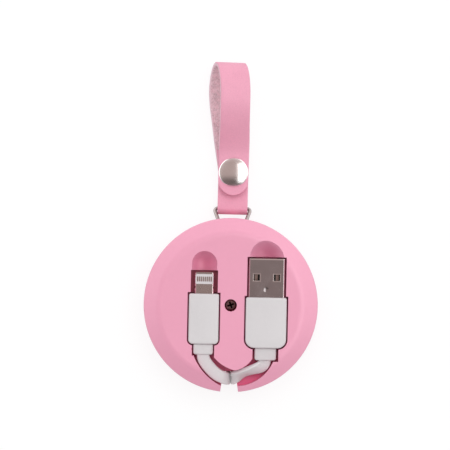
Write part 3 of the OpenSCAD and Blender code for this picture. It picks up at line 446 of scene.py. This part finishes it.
def coat_node(node, key):
    """Gives a node of the frame one finish."""
    obj = frame["nodes"][node]
    if not obj.material_slots:
        obj.data.materials.append(finish_of(key))
    for slot in obj.material_slots:
        slot.material = finish_of(key)


def body_of(node):
    """The body that the record gives a node."""
    groups = frame["record"]["behaviour"]["bodies"]
    return next(b for b, nodes in groups.items() if node in nodes)


def seat(obj, node):
    """Puts an object in a node's place, on the node's body, and hides the node."""
    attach(obj, body_of(node))
    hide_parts(node)


# Points closer than a merge distance become one
COPY_MERGE = 0.002 * MM
TURN_MERGE = 0.001 * MM

# Softened edges: radii on small metal pieces, the bends below which two faces are one and above
# which an edge is rounded, and how much the larger faces count in the shading
SHELL_ROUND = 0.07 * MM
FINE_ROUND = 0.05 * MM
FLAT_ANGLE = math.radians(0.4)
ROUNDED_ANGLE = math.radians(35)
ROUNDING_SEGMENTS = 2
FACE_WEIGHT = 100


def smooth_copy(node, name, key, angle=30, edge=0.0):
    """Merged copy of a node's mesh, with softened edges, that takes the node's place."""
    source = frame["nodes"][node]
    obj = bpy.data.objects.new(name, source.data.copy())
    bpy.context.scene.collection.objects.link(obj)
    alone(obj)
    bpy.ops.object.mode_set(mode="EDIT")
    bpy.ops.mesh.select_all(action="SELECT")
    bpy.ops.mesh.remove_doubles(threshold=COPY_MERGE)
    if edge:
        bpy.ops.mesh.dissolve_limited(angle_limit=FLAT_ANGLE)
    bpy.ops.object.mode_set(mode="OBJECT")
    if edge:
        rounding = obj.modifiers.new("Rounding", "BEVEL")
        rounding.width = edge
        rounding.segments = ROUNDING_SEGMENTS
        rounding.limit_method = "ANGLE"
        rounding.angle_limit = ROUNDED_ANGLE
        rounding.use_clamp_overlap = True
        bpy.ops.object.modifier_apply(modifier=rounding.name)
    smooth_by(angle)
    if edge:
        even = obj.modifiers.new("Even shading", "WEIGHTED_NORMAL")
        even.keep_sharp = True
        even.weight = FACE_WEIGHT
        bpy.ops.object.modifier_apply(modifier=even.name)
    coat(obj, key)
    seat(obj, node)
    return obj


def mesh_object(name, points, edges, faces):
    """New object with a mesh of the given points, edges and faces."""
    mesh = bpy.data.meshes.new(name)
    mesh.from_pydata([Vector(p) for p in points], edges, faces)
    mesh.update()
    obj = bpy.data.objects.new(name, mesh)
    bpy.context.scene.collection.objects.link(obj)
    return obj


def ring_tube(name, rings):
    """Closed tube over rings that have the same number of points."""
    n, k = len(rings), len(rings[0])
    points = [p for ring in rings for p in ring]
    faces = [(i * k + j, i * k + (j + 1) % k, (i + 1) * k + (j + 1) % k, (i + 1) * k + j)
             for i in range(n - 1) for j in range(k)]
    faces.append(tuple(reversed(range(k))))
    faces.append(tuple((n - 1) * k + j for j in range(k)))
    obj = mesh_object(name, points, [], faces)
    alone(obj)
    bpy.ops.object.mode_set(mode="EDIT")
    bpy.ops.mesh.select_all(action="SELECT")
    bpy.ops.mesh.normals_make_consistent(inside=False)
    bpy.ops.object.mode_set(mode="OBJECT")
    return obj


def turned_piece(name, profile, steps):
    """Solid piece turned about Z from a profile of (radius, height) points in millimetres."""
    k = len(profile)
    shut = profile[0][0] > 0
    edges = [(i, (i + 1) % k) for i in range(k if shut else k - 1)]
    obj = mesh_object(name, [(r * MM, 0, z * MM) for r, z in profile], edges, [])
    alone(obj)
    bpy.ops.object.mode_set(mode="EDIT")
    bpy.ops.mesh.select_all(action="SELECT")
    bpy.ops.mesh.spin(steps=steps, angle=math.tau, center=(0, 0, 0), axis=(0, 0, 1))
    bpy.ops.mesh.select_all(action="SELECT")
    bpy.ops.mesh.remove_doubles(threshold=TURN_MERGE)
    bpy.ops.mesh.normals_make_consistent(inside=False)
    bpy.ops.object.mode_set(mode="OBJECT")
    return obj


def smooth_by(degrees):
    """Shades the active object smooth, apart from edges that turn more than the angle."""
    bpy.ops.object.shade_smooth_by_angle(angle=math.radians(degrees))


def mix(a, b, t):
    """The value that lies a share t of the way from a to b."""
    return a * (1 - t) + b * t


def ease(t):
    """Goes from 0 to 1 with a gentle start and end."""
    t = min(max(t, 0.0), 1.0)
    return t * t * (3 - 2 * t)


def arc(centre, radius, start, end, steps, rise=None):
    """Points of an arc between two angles in degrees, oval where it has a rise of its own."""
    turns = [math.radians(mix(start, end, i / steps)) for i in range(steps + 1)]
    rise = radius if rise is None else rise
    return [(centre[0] + radius * math.cos(a), centre[1] + rise * math.sin(a)) for a in turns]


def smooth_point(points, u):
    """Point of a smooth curve through the points, at the place u counted in points."""
    n = len(points) - 1
    i = min(int(u), n - 1)
    t = u - i
    a, b, c, d = (Vector(points[max(0, min(n, j))]) for j in (i - 1, i, i + 1, i + 2))
    return 0.5 * (2 * b + (c - a) * t + (2 * a - 5 * b + 4 * c - d) * t * t
                  + (3 * (b - c) + d - a) * t ** 3)


def smooth_way(points, u, reach):
    """Direction of the smooth curve at u, taken between places a reach before and after it."""
    ahead = smooth_point(points, min(u + reach, len(points) - 1))
    return (ahead - smooth_point(points, max(u - reach, 0))).normalized()


def oval_section(width, thick, soft, steps):
    """Points round a flat section with rounded edges, from its right side over its top."""
    points = []
    for cx, cy, start in ((1, 1, 0), (-1, 1, 90), (-1, -1, 180), (1, -1, 270)):
        for i in range(steps + 1):
            a = math.radians(start + 90 * i / steps)
            points.append((cx * (width / 2 - soft) + soft * math.cos(a),
                           cy * (thick / 2 - soft) + soft * math.sin(a)))
    return points


# Plug shell
DIMPLE_FROM_TIP = 10.4 * MM
DIMPLE_REACH = 1.1 * MM
DIMPLE_DEPTH = 0.2 * MM
DIMPLE_STRETCH = 1.75
DIMPLE_SKIN = 0.001 * MM


def press_dimple(shell):
    """Presses the round dimple on the plug's metal shell deeper into its wall."""
    low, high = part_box("usb_shell")
    middle = Vector(((low.x + high.x) / 2, high.y - DIMPLE_FROM_TIP, high.z))
    alone(shell)
    bpy.ops.object.mode_set(mode="EDIT")
    bpy.ops.mesh.select_mode(type="FACE")
    bpy.ops.mesh.select_all(action="DESELECT")
    bpy.ops.object.mode_set(mode="OBJECT")
    for face in shell.data.polygons:
        way = face.center - middle
        near = max(abs(way.x), abs(way.y)) < DIMPLE_REACH
        face.select = near and -DIMPLE_DEPTH < way.z < -DIMPLE_SKIN
    bpy.ops.object.mode_set(mode="EDIT")
    bpy.ops.transform.resize(value=(1, 1, DIMPLE_STRETCH), center_override=middle)
    bpy.ops.mesh.select_mode(type="VERT")
    bpy.ops.object.mode_set(mode="OBJECT")


# Leads, in millimetres. A share list gives each point's place between the slit (0) and the strain
# relief (1) along X, the relief (0) and the slit (1) along Y, and the coil (0) and the relief (1)
# along Z. A width list gives the direction across the cable at each point.
CABLE_WIDTH = 4.2
CABLE_THICK = 1.5
CABLE_SOFT = 0.5
CABLE_CORNER_STEPS = 6
LEAD_STEPS = 8
LEAD_REACH = 0.05
RIM_Y = -29
LEAD_Y = RIM_Y + 4.5
COIL_EDGE = -21.6
COIL_MIDDLE = 6
PHONE_START = (-8.9, -16.5, 15.5)
PHONE_SLIT_X = -0.4
PHONE_SHARE = [(1, -0.14, 1), (1, 0.01, 1), (0.976, 0.162, 1), (0.886, 0.342, 0.99),
               (0.7, 0.584, 0.968), (0.465, 0.808, 0.926), (0.224, 0.938, 0.842), (0.059, 1, 0.674),
               (0, 1, 0.463), (0, 0.988, 0.274), (0, 0.875, 0.063)]
PHONE_WIDTH = [(9, 0, 0), (9, 0, 0), (9, 2, 0), (9, 4, 0), (8, 6, 0), (5, 9, 1), (2, 9, 2),
               (0, 9, 1), (0, 9, 1), (0, 9, 2), (0, 6, 7), (0, 0, 1)]
USB_START = (11.6, -18.1, 14.85)
USB_SLIT_X = 1.2
USB_SHARE = [(1, -0.172, 1), (1, 0, 1), (0.981, 0.172, 1), (0.868, 0.352, 1.025),
             (0.64, 0.49, 1.03), (0.37, 0.643, 0.98), (0.163, 0.813, 0.87), (0.024, 0.953, 0.69),
             (0, 1, 0.452), (0, 0.969, 0.271), (0, 0.828, 0.056)]
USB_WIDTH = [(8, 0, 0), (8, 0, 0), (8, -2, 0), (6, -7, -5), (4, -7, -9), (2, -5, -9), (1, -7, -8),
             (0, -9, -4), (0, -9, -1), (0, -9, -2), (0, -6, -7), (0, 0, -1)]


def lead_route(share, start, slit_x):
    """Points of a lead from inside its strain relief through the slit to the coil."""
    x0, y0, z0 = start
    points = [(mix(slit_x, x0, x), mix(y0, LEAD_Y, y), mix(COIL_MIDDLE, z0, z))
              for x, y, z in share]
    return points + [(slit_x, COIL_EDGE, COIL_MIDDLE)]


def flat_lead(name, node, route, widths):
    """Flat cable along a route, turned so that it is wide in the directions given."""
    section = oval_section(CABLE_WIDTH, CABLE_THICK, CABLE_SOFT, CABLE_CORNER_STEPS)
    rings = []
    for i in range((len(route) - 1) * LEAD_STEPS + 1):
        u = i / LEAD_STEPS
        tangent = smooth_way(route, u, LEAD_REACH)
        across = smooth_point(widths, u)
        across = (across - tangent * across.dot(tangent)).normalized()
        up = across.cross(tangent)
        middle = smooth_point(route, u)
        rings.append([(middle + across * x + up * y) * MM for x, y in section])
    obj = ring_tube(name, rings)
    smooth_by(50)
    coat(obj, "jacket")
    seat(obj, node)
    return obj


# Strap, in millimetres from the ring's lower bar: the leather, the stud and the loop
STRAP_WIDTH = 10.1
LEATHER = 1.3
STRAP_SOFT = 0.34
CAP_R = 4.9
STUD_Y = 12.1
LOOP_Y = 48.8
LOOP_GAP = 12.0
CREST_L = 11.5
FLAP_L = 7.7
SHORT_L = 7.5
WIRE_R = 0.6
WIRE_GAP = 0.15
LAYER_GAP = 0.1
STUD_GAP = 2.4
CAP_GAP = 0.3

# Levels of the leather's middle line and places along it
FOLD_R = WIRE_R + WIRE_GAP + LEATHER / 2
LOW_Z = -FOLD_R
MID_Z = LOW_Z + LEATHER + LAYER_GAP
FLAP_Z = MID_Z + LEATHER + STUD_GAP
CREST_Y = LOOP_Y - LEATHER / 2 - CREST_L
CREST_Z = LOW_Z + LOOP_GAP / 2 + LEATHER / 2
CREST_RISE = CREST_Z - LOW_Z
TOP_Z = CREST_Z + CREST_RISE
RISE_FROM = STUD_Y + CAP_R + CAP_GAP
FLAP_FLAT_Y = STUD_Y + 2
FLAP_END = STUD_Y - FLAP_L
SETTLE_L = 7
SETTLE_YS = (9.5, 7, 5.6, 4.2, 2.8, 1.4)

# Turn of the loop, with the lift that keeps its edge clear, its skew, and the lean on the ring
TWIST = math.radians(14.5)
TWIST_L = 12
TWIST_INSET = 1.5
SKEW = 0.165
SKEW_FADE = 12
LEAN = math.radians(-0.4)
BAR = next(Vector(j["pos_m"]) for j in frame["joints"] if j["name"] == "strap_swing")

# Steps along the leather, its rounded end, and how the sides of its section are split and coated
RISE_STEPS = 9
STRAP_STEPS = 5
STRAP_REACH = 0.1
FLAP_STEPS = 6
END_STEPS = 12
END_TURN = 88
END_WIDTH = 0.9
STRAP_CORNER_STEPS = 3
FACE_SIDES = (3, 11)
FACE_SPLITS = (0.1, 0.3, 0.5, 0.7, 0.9)
SUEDE_ABOVE = LEATHER * 0.44
GRAIN_BELOW = -LEATHER * 0.30


def strap_line():
    """Middle line of the leather as (y, z), from the end under the flap round to the stud."""
    short = [(y, mix(FOLD_R, MID_Z, ease(y / SETTLE_L)))
             for y in (STUD_Y + SHORT_L, RISE_FROM, STUD_Y, *SETTLE_YS)]
    fold = arc((0, 0), FOLD_R, 90, 270, 8)
    low = [(y, LOW_Z) for y in (STUD_Y / 3, STUD_Y * 2 / 3, STUD_Y,
                                *(mix(RISE_FROM, CREST_Y, i / 4) for i in range(4)))]
    crest = arc((CREST_Y, CREST_Z), CREST_L, -90, 90, 16, CREST_RISE)
    slope = [(mix(CREST_Y, RISE_FROM, t), mix(TOP_Z, FLAP_Z, ease(t)))
             for t in (i / RISE_STEPS for i in range(1, RISE_STEPS))]
    flap = [(y, FLAP_Z) for y in (RISE_FROM, FLAP_FLAT_Y, STUD_Y)]
    return short + fold + low + crest + slope + flap


def turned(p):
    """Turns the loop about the line of its upper layer and skews it towards its crest."""
    x, y, z = p
    a = TWIST * ease((y - RISE_FROM) / TWIST_L)
    axis = mix(FLAP_Z, TOP_Z, ease((y - RISE_FROM) / (CREST_Y - RISE_FROM)))
    up = z - axis
    lift = STRAP_WIDTH / 2 - TWIST_INSET
    late = min(max(CREST_Y + SKEW_FADE / 2 - y, 0), SKEW_FADE)
    reach = y if late == SKEW_FADE else CREST_Y - late * late / (2 * SKEW_FADE)
    aside = SKEW * max(reach - STUD_Y, 0) / (axis - LOW_Z)
    return Vector((x * math.cos(a) + up * aside, y,
                   axis - x * math.sin(a) + up * math.cos(a) + lift * math.sin(a)))


def strap_place():
    """Takes the strap's millimetres to their place in the frame."""
    return Matrix.Translation(BAR) @ Matrix.Rotation(LEAN, 4, "Z") @ Matrix.Scale(MM, 4)


def strap_outline(width):
    """Points round the leather's section, with more of them across both faces."""
    corners = oval_section(width, LEATHER, min(STRAP_SOFT, width * 0.35), STRAP_CORNER_STEPS)
    points = []
    for j, (x, y) in enumerate(corners):
        points.append((x, y))
        if j in FACE_SIDES:
            nx, ny = corners[j + 1]
            points += [(mix(x, nx, f), mix(y, ny, f)) for f in FACE_SPLITS]
    return points


def strap_stations():
    """Middle, direction and width of the leather along the strap, to its rounded end."""
    line = [Vector((0, y, z)) for y, z in strap_line()]
    stations = []
    for i in range((len(line) - 1) * STRAP_STEPS + 1):
        u = i / STRAP_STEPS
        stations.append((smooth_point(line, u), smooth_way(line, u, STRAP_REACH), STRAP_WIDTH))
    flat = Vector((0, -1, 0))
    round_start = FLAP_END + STRAP_WIDTH / 2
    for i in range(1, FLAP_STEPS + 1):
        y = mix(STUD_Y, round_start, i / FLAP_STEPS)
        stations.append((Vector((0, y, FLAP_Z)), flat, STRAP_WIDTH))
    for i in range(1, END_STEPS + 1):
        a = math.radians(END_TURN * i / END_STEPS)
        y = round_start - STRAP_WIDTH / 2 * math.sin(a)
        stations.append((Vector((0, y, FLAP_Z)), flat, max(STRAP_WIDTH * math.cos(a), END_WIDTH)))
    return stations


def make_strap():
    """Leather strap with a grain side, a suede side and cut edges."""
    place = strap_place()
    rings = []
    for middle, tangent, width in strap_stations():
        normal = Vector((0, -tangent.z, tangent.y))
        rings.append([place @ turned(middle + Vector((x, 0, 0)) + normal * y)
                      for x, y in strap_outline(width)])
    obj = ring_tube("leather_strap", rings)
    coat(obj, "leather", "suede", "edge")
    # each face round the section is grain (0), suede (1) or edge (2), by its height
    outline = strap_outline(STRAP_WIDTH)
    heights = [(a[1] + b[1]) / 2 for a, b in zip(outline, outline[1:] + outline[:1])]
    kinds = [1 if h > SUEDE_ABOVE else 0 if h < GRAIN_BELOW else 2 for h in heights]
    k = len(outline)
    for face in obj.data.polygons:
        face.material_index = kinds[face.index % k] if face.index < k * (len(rings) - 1) else 2
    smooth_by(60)
    seat(obj, "strap")
    return obj


# Coil, in millimetres: the groove between two turns, and its depth a little to the side
COIL_TURNS = 14
COIL_INNER_R = 9.02
COIL_STEPS = 120
GROOVE = 0.22
GROOVE_SIDE = 0.07


def make_coil():
    """Wound cable: one closed ring whose two flat sides show the turns."""
    low, high = (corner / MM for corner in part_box("cable_coil"))
    pitch = (high.x - COIL_INNER_R) / COIL_TURNS
    soft = pitch * 0.3
    side = soft * 0.35
    turn = ((0, GROOVE), (side, GROOVE_SIDE), (soft, 0),
            (pitch - soft, 0), (pitch - side, GROOVE_SIDE))
    line = [(COIL_INNER_R + pitch * i + x, drop) for i in range(COIL_TURNS) for x, drop in turn]
    line.append((high.x, GROOVE))
    top = [(r, high.z - drop) for r, drop in line]
    bottom = [(r, low.z + drop) for r, drop in line]
    obj = turned_piece("wound_cable", top + bottom[::-1], COIL_STEPS)
    smooth_by(50)
    coat(obj, "jacket")
    seat(obj, "cable_coil")
    return obj


# Cap of the press stud, in millimetres over the leather's top, with the arcs in degrees
CAP_RISE = 1.3
CAP_SHEET = 0.3
CAP_RIM = 0.15
CAP_LIFT = 0.03
CAP_STEPS = 128
DOME_STEPS = 40
DOME_STOP = 1.6
RIM_STEPS = 10
RIM_FROM = 50
RIM_TO = -90
SHANK_R = 1.35
SHANK_WALL = 0.35
SHANK_END = -LEATHER - 0.5


def make_cap():
    """Cap of the press stud: a dome with a rolled rim, on a hollow shank."""
    ball = (CAP_R * CAP_R + CAP_RISE * CAP_RISE) / (2 * CAP_RISE)
    middle = (0, CAP_RISE + CAP_SHEET - ball)
    edge = math.degrees(math.acos(CAP_R / ball))
    dome = arc(middle, ball, 90, edge + DOME_STOP, DOME_STEPS)
    rim_middle = (CAP_R - CAP_RIM, CAP_RIM + CAP_LIFT)
    rim = arc(rim_middle, CAP_RIM, RIM_FROM, RIM_TO, RIM_STEPS)
    shank = [(SHANK_R + 0.1, CAP_LIFT), (SHANK_R, -0.06), (SHANK_R, SHANK_END + 0.05),
             (SHANK_R - 0.06, SHANK_END), (SHANK_R - SHANK_WALL, SHANK_END),
             (SHANK_R - SHANK_WALL, CAP_SHEET), (0, CAP_SHEET)]
    obj = turned_piece("press_cap", dome + rim + shank, CAP_STEPS)
    on_flap = Matrix.Translation((0, STUD_Y, FLAP_Z + LEATHER / 2))
    obj.data.transform(strap_place() @ on_flap @ Matrix.Scale(1 / MM, 4))
    obj.data.update()
    smooth_by(40)
    coat(obj, "nickel")
    seat(obj, "stud_cap")
    return obj


# Stage, in metres. A ramp holds its axis, where it starts and ends, and its two levels
AIM = (0, 0.02, 0.01)
CAMERA_PLACE = (-2.41 * MM, 26.63 * MM, 1.013)
CAMERA_ROLL = math.radians(1.1)
CAMERA_ANGLE = 2 * math.atan(75 / 1000)
CAMERA_NEAR = 0.05
FLOOR_SIDE = 6
FLOOR_DROP = 0.02 * MM
PAPER_WHITE = (0.93, 0.93, 0.93)
PAPER_GLOW = 1.04
GLOW_SHARE = 0.8
KEY_SIZE = (0.7, 0.5)
KEY_PLACE = (0.14, 0.28, 0.93)
CARD_SIZE = (1.2, 0.5)
CARD_PLACE = (0.47, 0.03, 0.66)
CEILING_RAMP = ("Z", 0.15, 0.65, 0, 1)
MIRRORED_RAMP = ("Y", -0.6, -0.1, 0.28, 1)
ROOM_RAMP = ("Y", -1, 1, 0.78, 1.2)
WHITE = (1.0, 1.0, 1.0, 1.0)


def add_camera(scene):
    """Camera straight above the part, rolled a little."""
    camera = bpy.data.objects.new("Camera", bpy.data.cameras.new("Camera"))
    scene.collection.objects.link(camera)
    scene.camera = camera
    camera.data.sensor_fit = "HORIZONTAL"
    camera.data.angle = CAMERA_ANGLE
    camera.data.clip_start = CAMERA_NEAR
    camera.location = CAMERA_PLACE
    camera.rotation_euler = (0, 0, CAMERA_ROLL)


def paper_material():
    """White paper that glows where it is looked at directly, and is clear from below."""
    paper = Recipe("White paper", PAPER_WHITE, 0.9)
    nodes = paper.tree.nodes

    def either(share, a, b):
        node = nodes.new("ShaderNodeMixShader")
        for i, output in enumerate((share, a, b)):
            paper.join(output, node.inputs[i])
        return node.outputs[0]

    glow = nodes.new("ShaderNodeEmission")
    glow.inputs["Color"].default_value = WHITE
    glow.inputs["Strength"].default_value = PAPER_GLOW
    direct = nodes.new("ShaderNodeLightPath").outputs["Is Camera Ray"]
    share = paper.calc("MULTIPLY", direct, GLOW_SHARE)
    top = either(share, paper.shader.outputs[0], glow.outputs[0])
    below = nodes.new("ShaderNodeNewGeometry").outputs["Backfacing"]
    clear = nodes.new("ShaderNodeBsdfTransparent").outputs[0]
    paper.join(either(below, top, clear), nodes["Material Output"].inputs["Surface"])
    return paper.material


def room_world():
    """Room that is white to the eye, bright-walled in shiny surfaces and even for matt ones."""
    s = settings()
    world = bpy.data.worlds.new("Room")
    world.use_nodes = True
    tree = world.node_tree
    nodes = tree.nodes
    rays = nodes.new("ShaderNodeLightPath").outputs
    way = nodes.new("ShaderNodeSeparateXYZ")
    tree.links.new(nodes.new("ShaderNodeTexCoord").outputs["Generated"], way.inputs["Vector"])

    def ramp(axis, start, end, low, high):
        node = nodes.new("ShaderNodeMapRange")
        node.interpolation_type = "SMOOTHSTEP"
        node.inputs["From Min"].default_value = start
        node.inputs["From Max"].default_value = end
        node.inputs["To Min"].default_value = low
        node.inputs["To Max"].default_value = high
        tree.links.new(way.outputs[axis], node.inputs["Value"])
        return node.outputs["Result"]

    def blend(kind, factor, a, b):
        node = nodes.new("ShaderNodeMix")
        node.data_type = "RGBA"
        node.blend_type = kind
        for key, value in (("Factor", factor), ("A", a), ("B", b)):
            if isinstance(value, (tuple, float)):
                node.inputs[key].default_value = value
            else:
                tree.links.new(value, node.inputs[key])
        return node.outputs["Result"]

    wall_light = (s.wall_level, s.wall_level, s.wall_level, 1)
    even_light = (s.room_level, s.room_level, s.room_level, 1)
    walls = blend("MIX", ramp(*CEILING_RAMP), wall_light, (*s.ceiling_colour, 1))
    mirrored = blend("MULTIPLY", 1.0, walls, ramp(*MIRRORED_RAMP))
    light = blend("MULTIPLY", 1.0, even_light, ramp(*ROOM_RAMP))
    light = blend("MIX", rays["Is Glossy Ray"], light, mirrored)
    light = blend("MIX", rays["Is Camera Ray"], light, WHITE)
    tree.links.new(light, nodes["Background"].inputs["Color"])
    return world


def add_lamp(scene, name, power, size, place, card):
    """Lamp aimed at the part. A card only shows in shiny surfaces, and the other never does."""
    data = bpy.data.lights.new(name, "AREA")
    data.energy = power
    data.shape = "RECTANGLE"
    data.size, data.size_y = size
    obj = bpy.data.objects.new(name, data)
    obj.location = place
    obj.rotation_euler = (Vector(AIM) - Vector(place)).to_track_quat("-Z", "Y").to_euler()
    obj.visible_diffuse = not card
    obj.visible_glossy = card
    scene.collection.objects.link(obj)


# Operators
class CABLECASE_OT_stage(bpy.types.Operator):
    """Add the floor, the lamps, the room light and the camera"""

    bl_idname = "cable_case.stage"
    bl_label = "Stage"

    def execute(self, context):
        s = settings()
        scene = context.scene
        add_camera(scene)
        bpy.ops.object.select_all(action="DESELECT")
        bpy.ops.mesh.primitive_plane_add(size=FLOOR_SIDE, location=(0, 0, -FLOOR_DROP))
        floor = context.object
        floor.name = "floor"
        floor.visible_diffuse = False
        floor.visible_shadow = False
        floor.data.materials.append(paper_material())
        scene.world = room_world()
        add_lamp(scene, "Key", s.key_power, KEY_SIZE, KEY_PLACE, False)
        add_lamp(scene, "Card right", s.card_power, CARD_SIZE, CARD_PLACE, True)
        scene.view_settings.view_transform = "Standard"
        return {"FINISHED"}


class CABLECASE_OT_case(bpy.types.Operator):
    """Finish both halves of the case and the centre screw"""

    bl_idname = "cable_case.case"
    bl_label = "Case and screw"

    def execute(self, context):
        edge = settings().edge_round
        smooth_copy("front_shell", "case_front", "case_front", edge=edge)
        smooth_copy("back_shell", "case_back", "case", edge=edge)
        smooth_copy("centre_screw", "case_screw", "dark", edge=FINE_ROUND)
        return {"FINISHED"}


class CABLECASE_OT_reel(bpy.types.Operator):
    """Finish the reel, its cover, the spring, the ratchet ball and the wound cable"""

    bl_idname = "cable_case.reel"
    bl_label = "Reel"

    def execute(self, context):
        coat_node("reel", "reel")
        coat_node("reel_cover", "reel")
        coat_node("power_spring", "spring")
        coat_node("ratchet_ball", "spring")
        make_coil()
        return {"FINISHED"}


class CABLECASE_OT_usb_plug(bpy.types.Operator):
    """Finish the larger plug"""

    bl_idname = "cable_case.usb_plug"
    bl_label = "Larger plug"

    def execute(self, context):
        smooth_copy("usb_grip", "large_grip", "grip", angle=40)
        smooth_copy("usb_strain_relief", "large_sleeve", "grip", angle=40)
        shell = smooth_copy("usb_shell", "large_shell", "steel", edge=SHELL_ROUND)
        press_dimple(shell)
        coat_node("usb_tongue", "black")
        coat_node("usb_contacts", "pale_gold")
        return {"FINISHED"}


class CABLECASE_OT_phone_plug(bpy.types.Operator):
    """Finish the smaller plug"""

    bl_idname = "cable_case.phone_plug"
    bl_label = "Smaller plug"

    def execute(self, context):
        smooth_copy("phone_grip", "small_grip", "grip", angle=40)
        smooth_copy("phone_strain_relief", "small_sleeve", "grip", angle=40)
        smooth_copy("phone_tab", "small_tab", "tab_steel", edge=FINE_ROUND)
        coat_node("phone_contact_block", "grip")
        coat_node("phone_contacts", "pale_gold")
        return {"FINISHED"}


class CABLECASE_OT_leads(bpy.types.Operator):
    """Make the two flat leads that run into the slit"""

    bl_idname = "cable_case.leads"
    bl_label = "Leads"

    def execute(self, context):
        small = lead_route(PHONE_SHARE, PHONE_START, PHONE_SLIT_X)
        flat_lead("small_lead", "phone_lead", small, PHONE_WIDTH)
        large = lead_route(USB_SHARE, USB_START, USB_SLIT_X)
        flat_lead("large_lead", "usb_lead", large, USB_WIDTH)
        return {"FINISHED"}


class CABLECASE_OT_strap(bpy.types.Operator):
    """Make the leather strap"""

    bl_idname = "cable_case.strap"
    bl_label = "Strap"

    def execute(self, context):
        make_strap()
        return {"FINISHED"}


class CABLECASE_OT_ring_and_stud(bpy.types.Operator):
    """Finish the wire ring and the four pieces of the press stud"""

    bl_idname = "cable_case.ring_and_stud"
    bl_label = "Ring and press stud"

    def execute(self, context):
        smooth_copy("wire_ring", "strap_ring", "wire", angle=40)
        make_cap()
        smooth_copy("stud_socket", "press_socket", "nickel")
        smooth_copy("stud_post", "press_post", "nickel")
        smooth_copy("stud_eyelet", "press_eyelet", "nickel")
        return {"FINISHED"}


PIECE_OPERATORS = (
    CABLECASE_OT_stage,
    CABLECASE_OT_case,
    CABLECASE_OT_reel,
    CABLECASE_OT_usb_plug,
    CABLECASE_OT_phone_plug,
    CABLECASE_OT_leads,
    CABLECASE_OT_strap,
    CABLECASE_OT_ring_and_stud,
)


class CABLECASE_PT_panel(bpy.types.Panel):
    """Sizes, colours and pieces of the cable case"""

    bl_label = "Cable Case"
    bl_idname = "CABLECASE_PT_panel"
    bl_space_type = "VIEW_3D"
    bl_region_type = "UI"
    bl_category = "Cable Case"

    def draw(self, context):
        column = self.layout.column()
        for name in CableCaseSettings.__annotations__:
            column.prop(context.scene.cable_case, name)
        for operator in PIECE_OPERATORS:
            column.operator(operator.bl_idname)


CLASSES = (CableCaseSettings, *PIECE_OPERATORS, CABLECASE_PT_panel)


def register():
    for cls in CLASSES:
        bpy.utils.register_class(cls)
    bpy.types.Scene.cable_case = bpy.props.PointerProperty(type=CableCaseSettings)


def unregister():
    del bpy.types.Scene.cable_case
    for cls in reversed(CLASSES):
        bpy.utils.unregister_class(cls)


def main():
    register()
    for operator in PIECE_OPERATORS:
        group, name = operator.bl_idname.split(".")
        getattr(getattr(bpy.ops, group), name)()


if __name__ == "__main__":
    main()
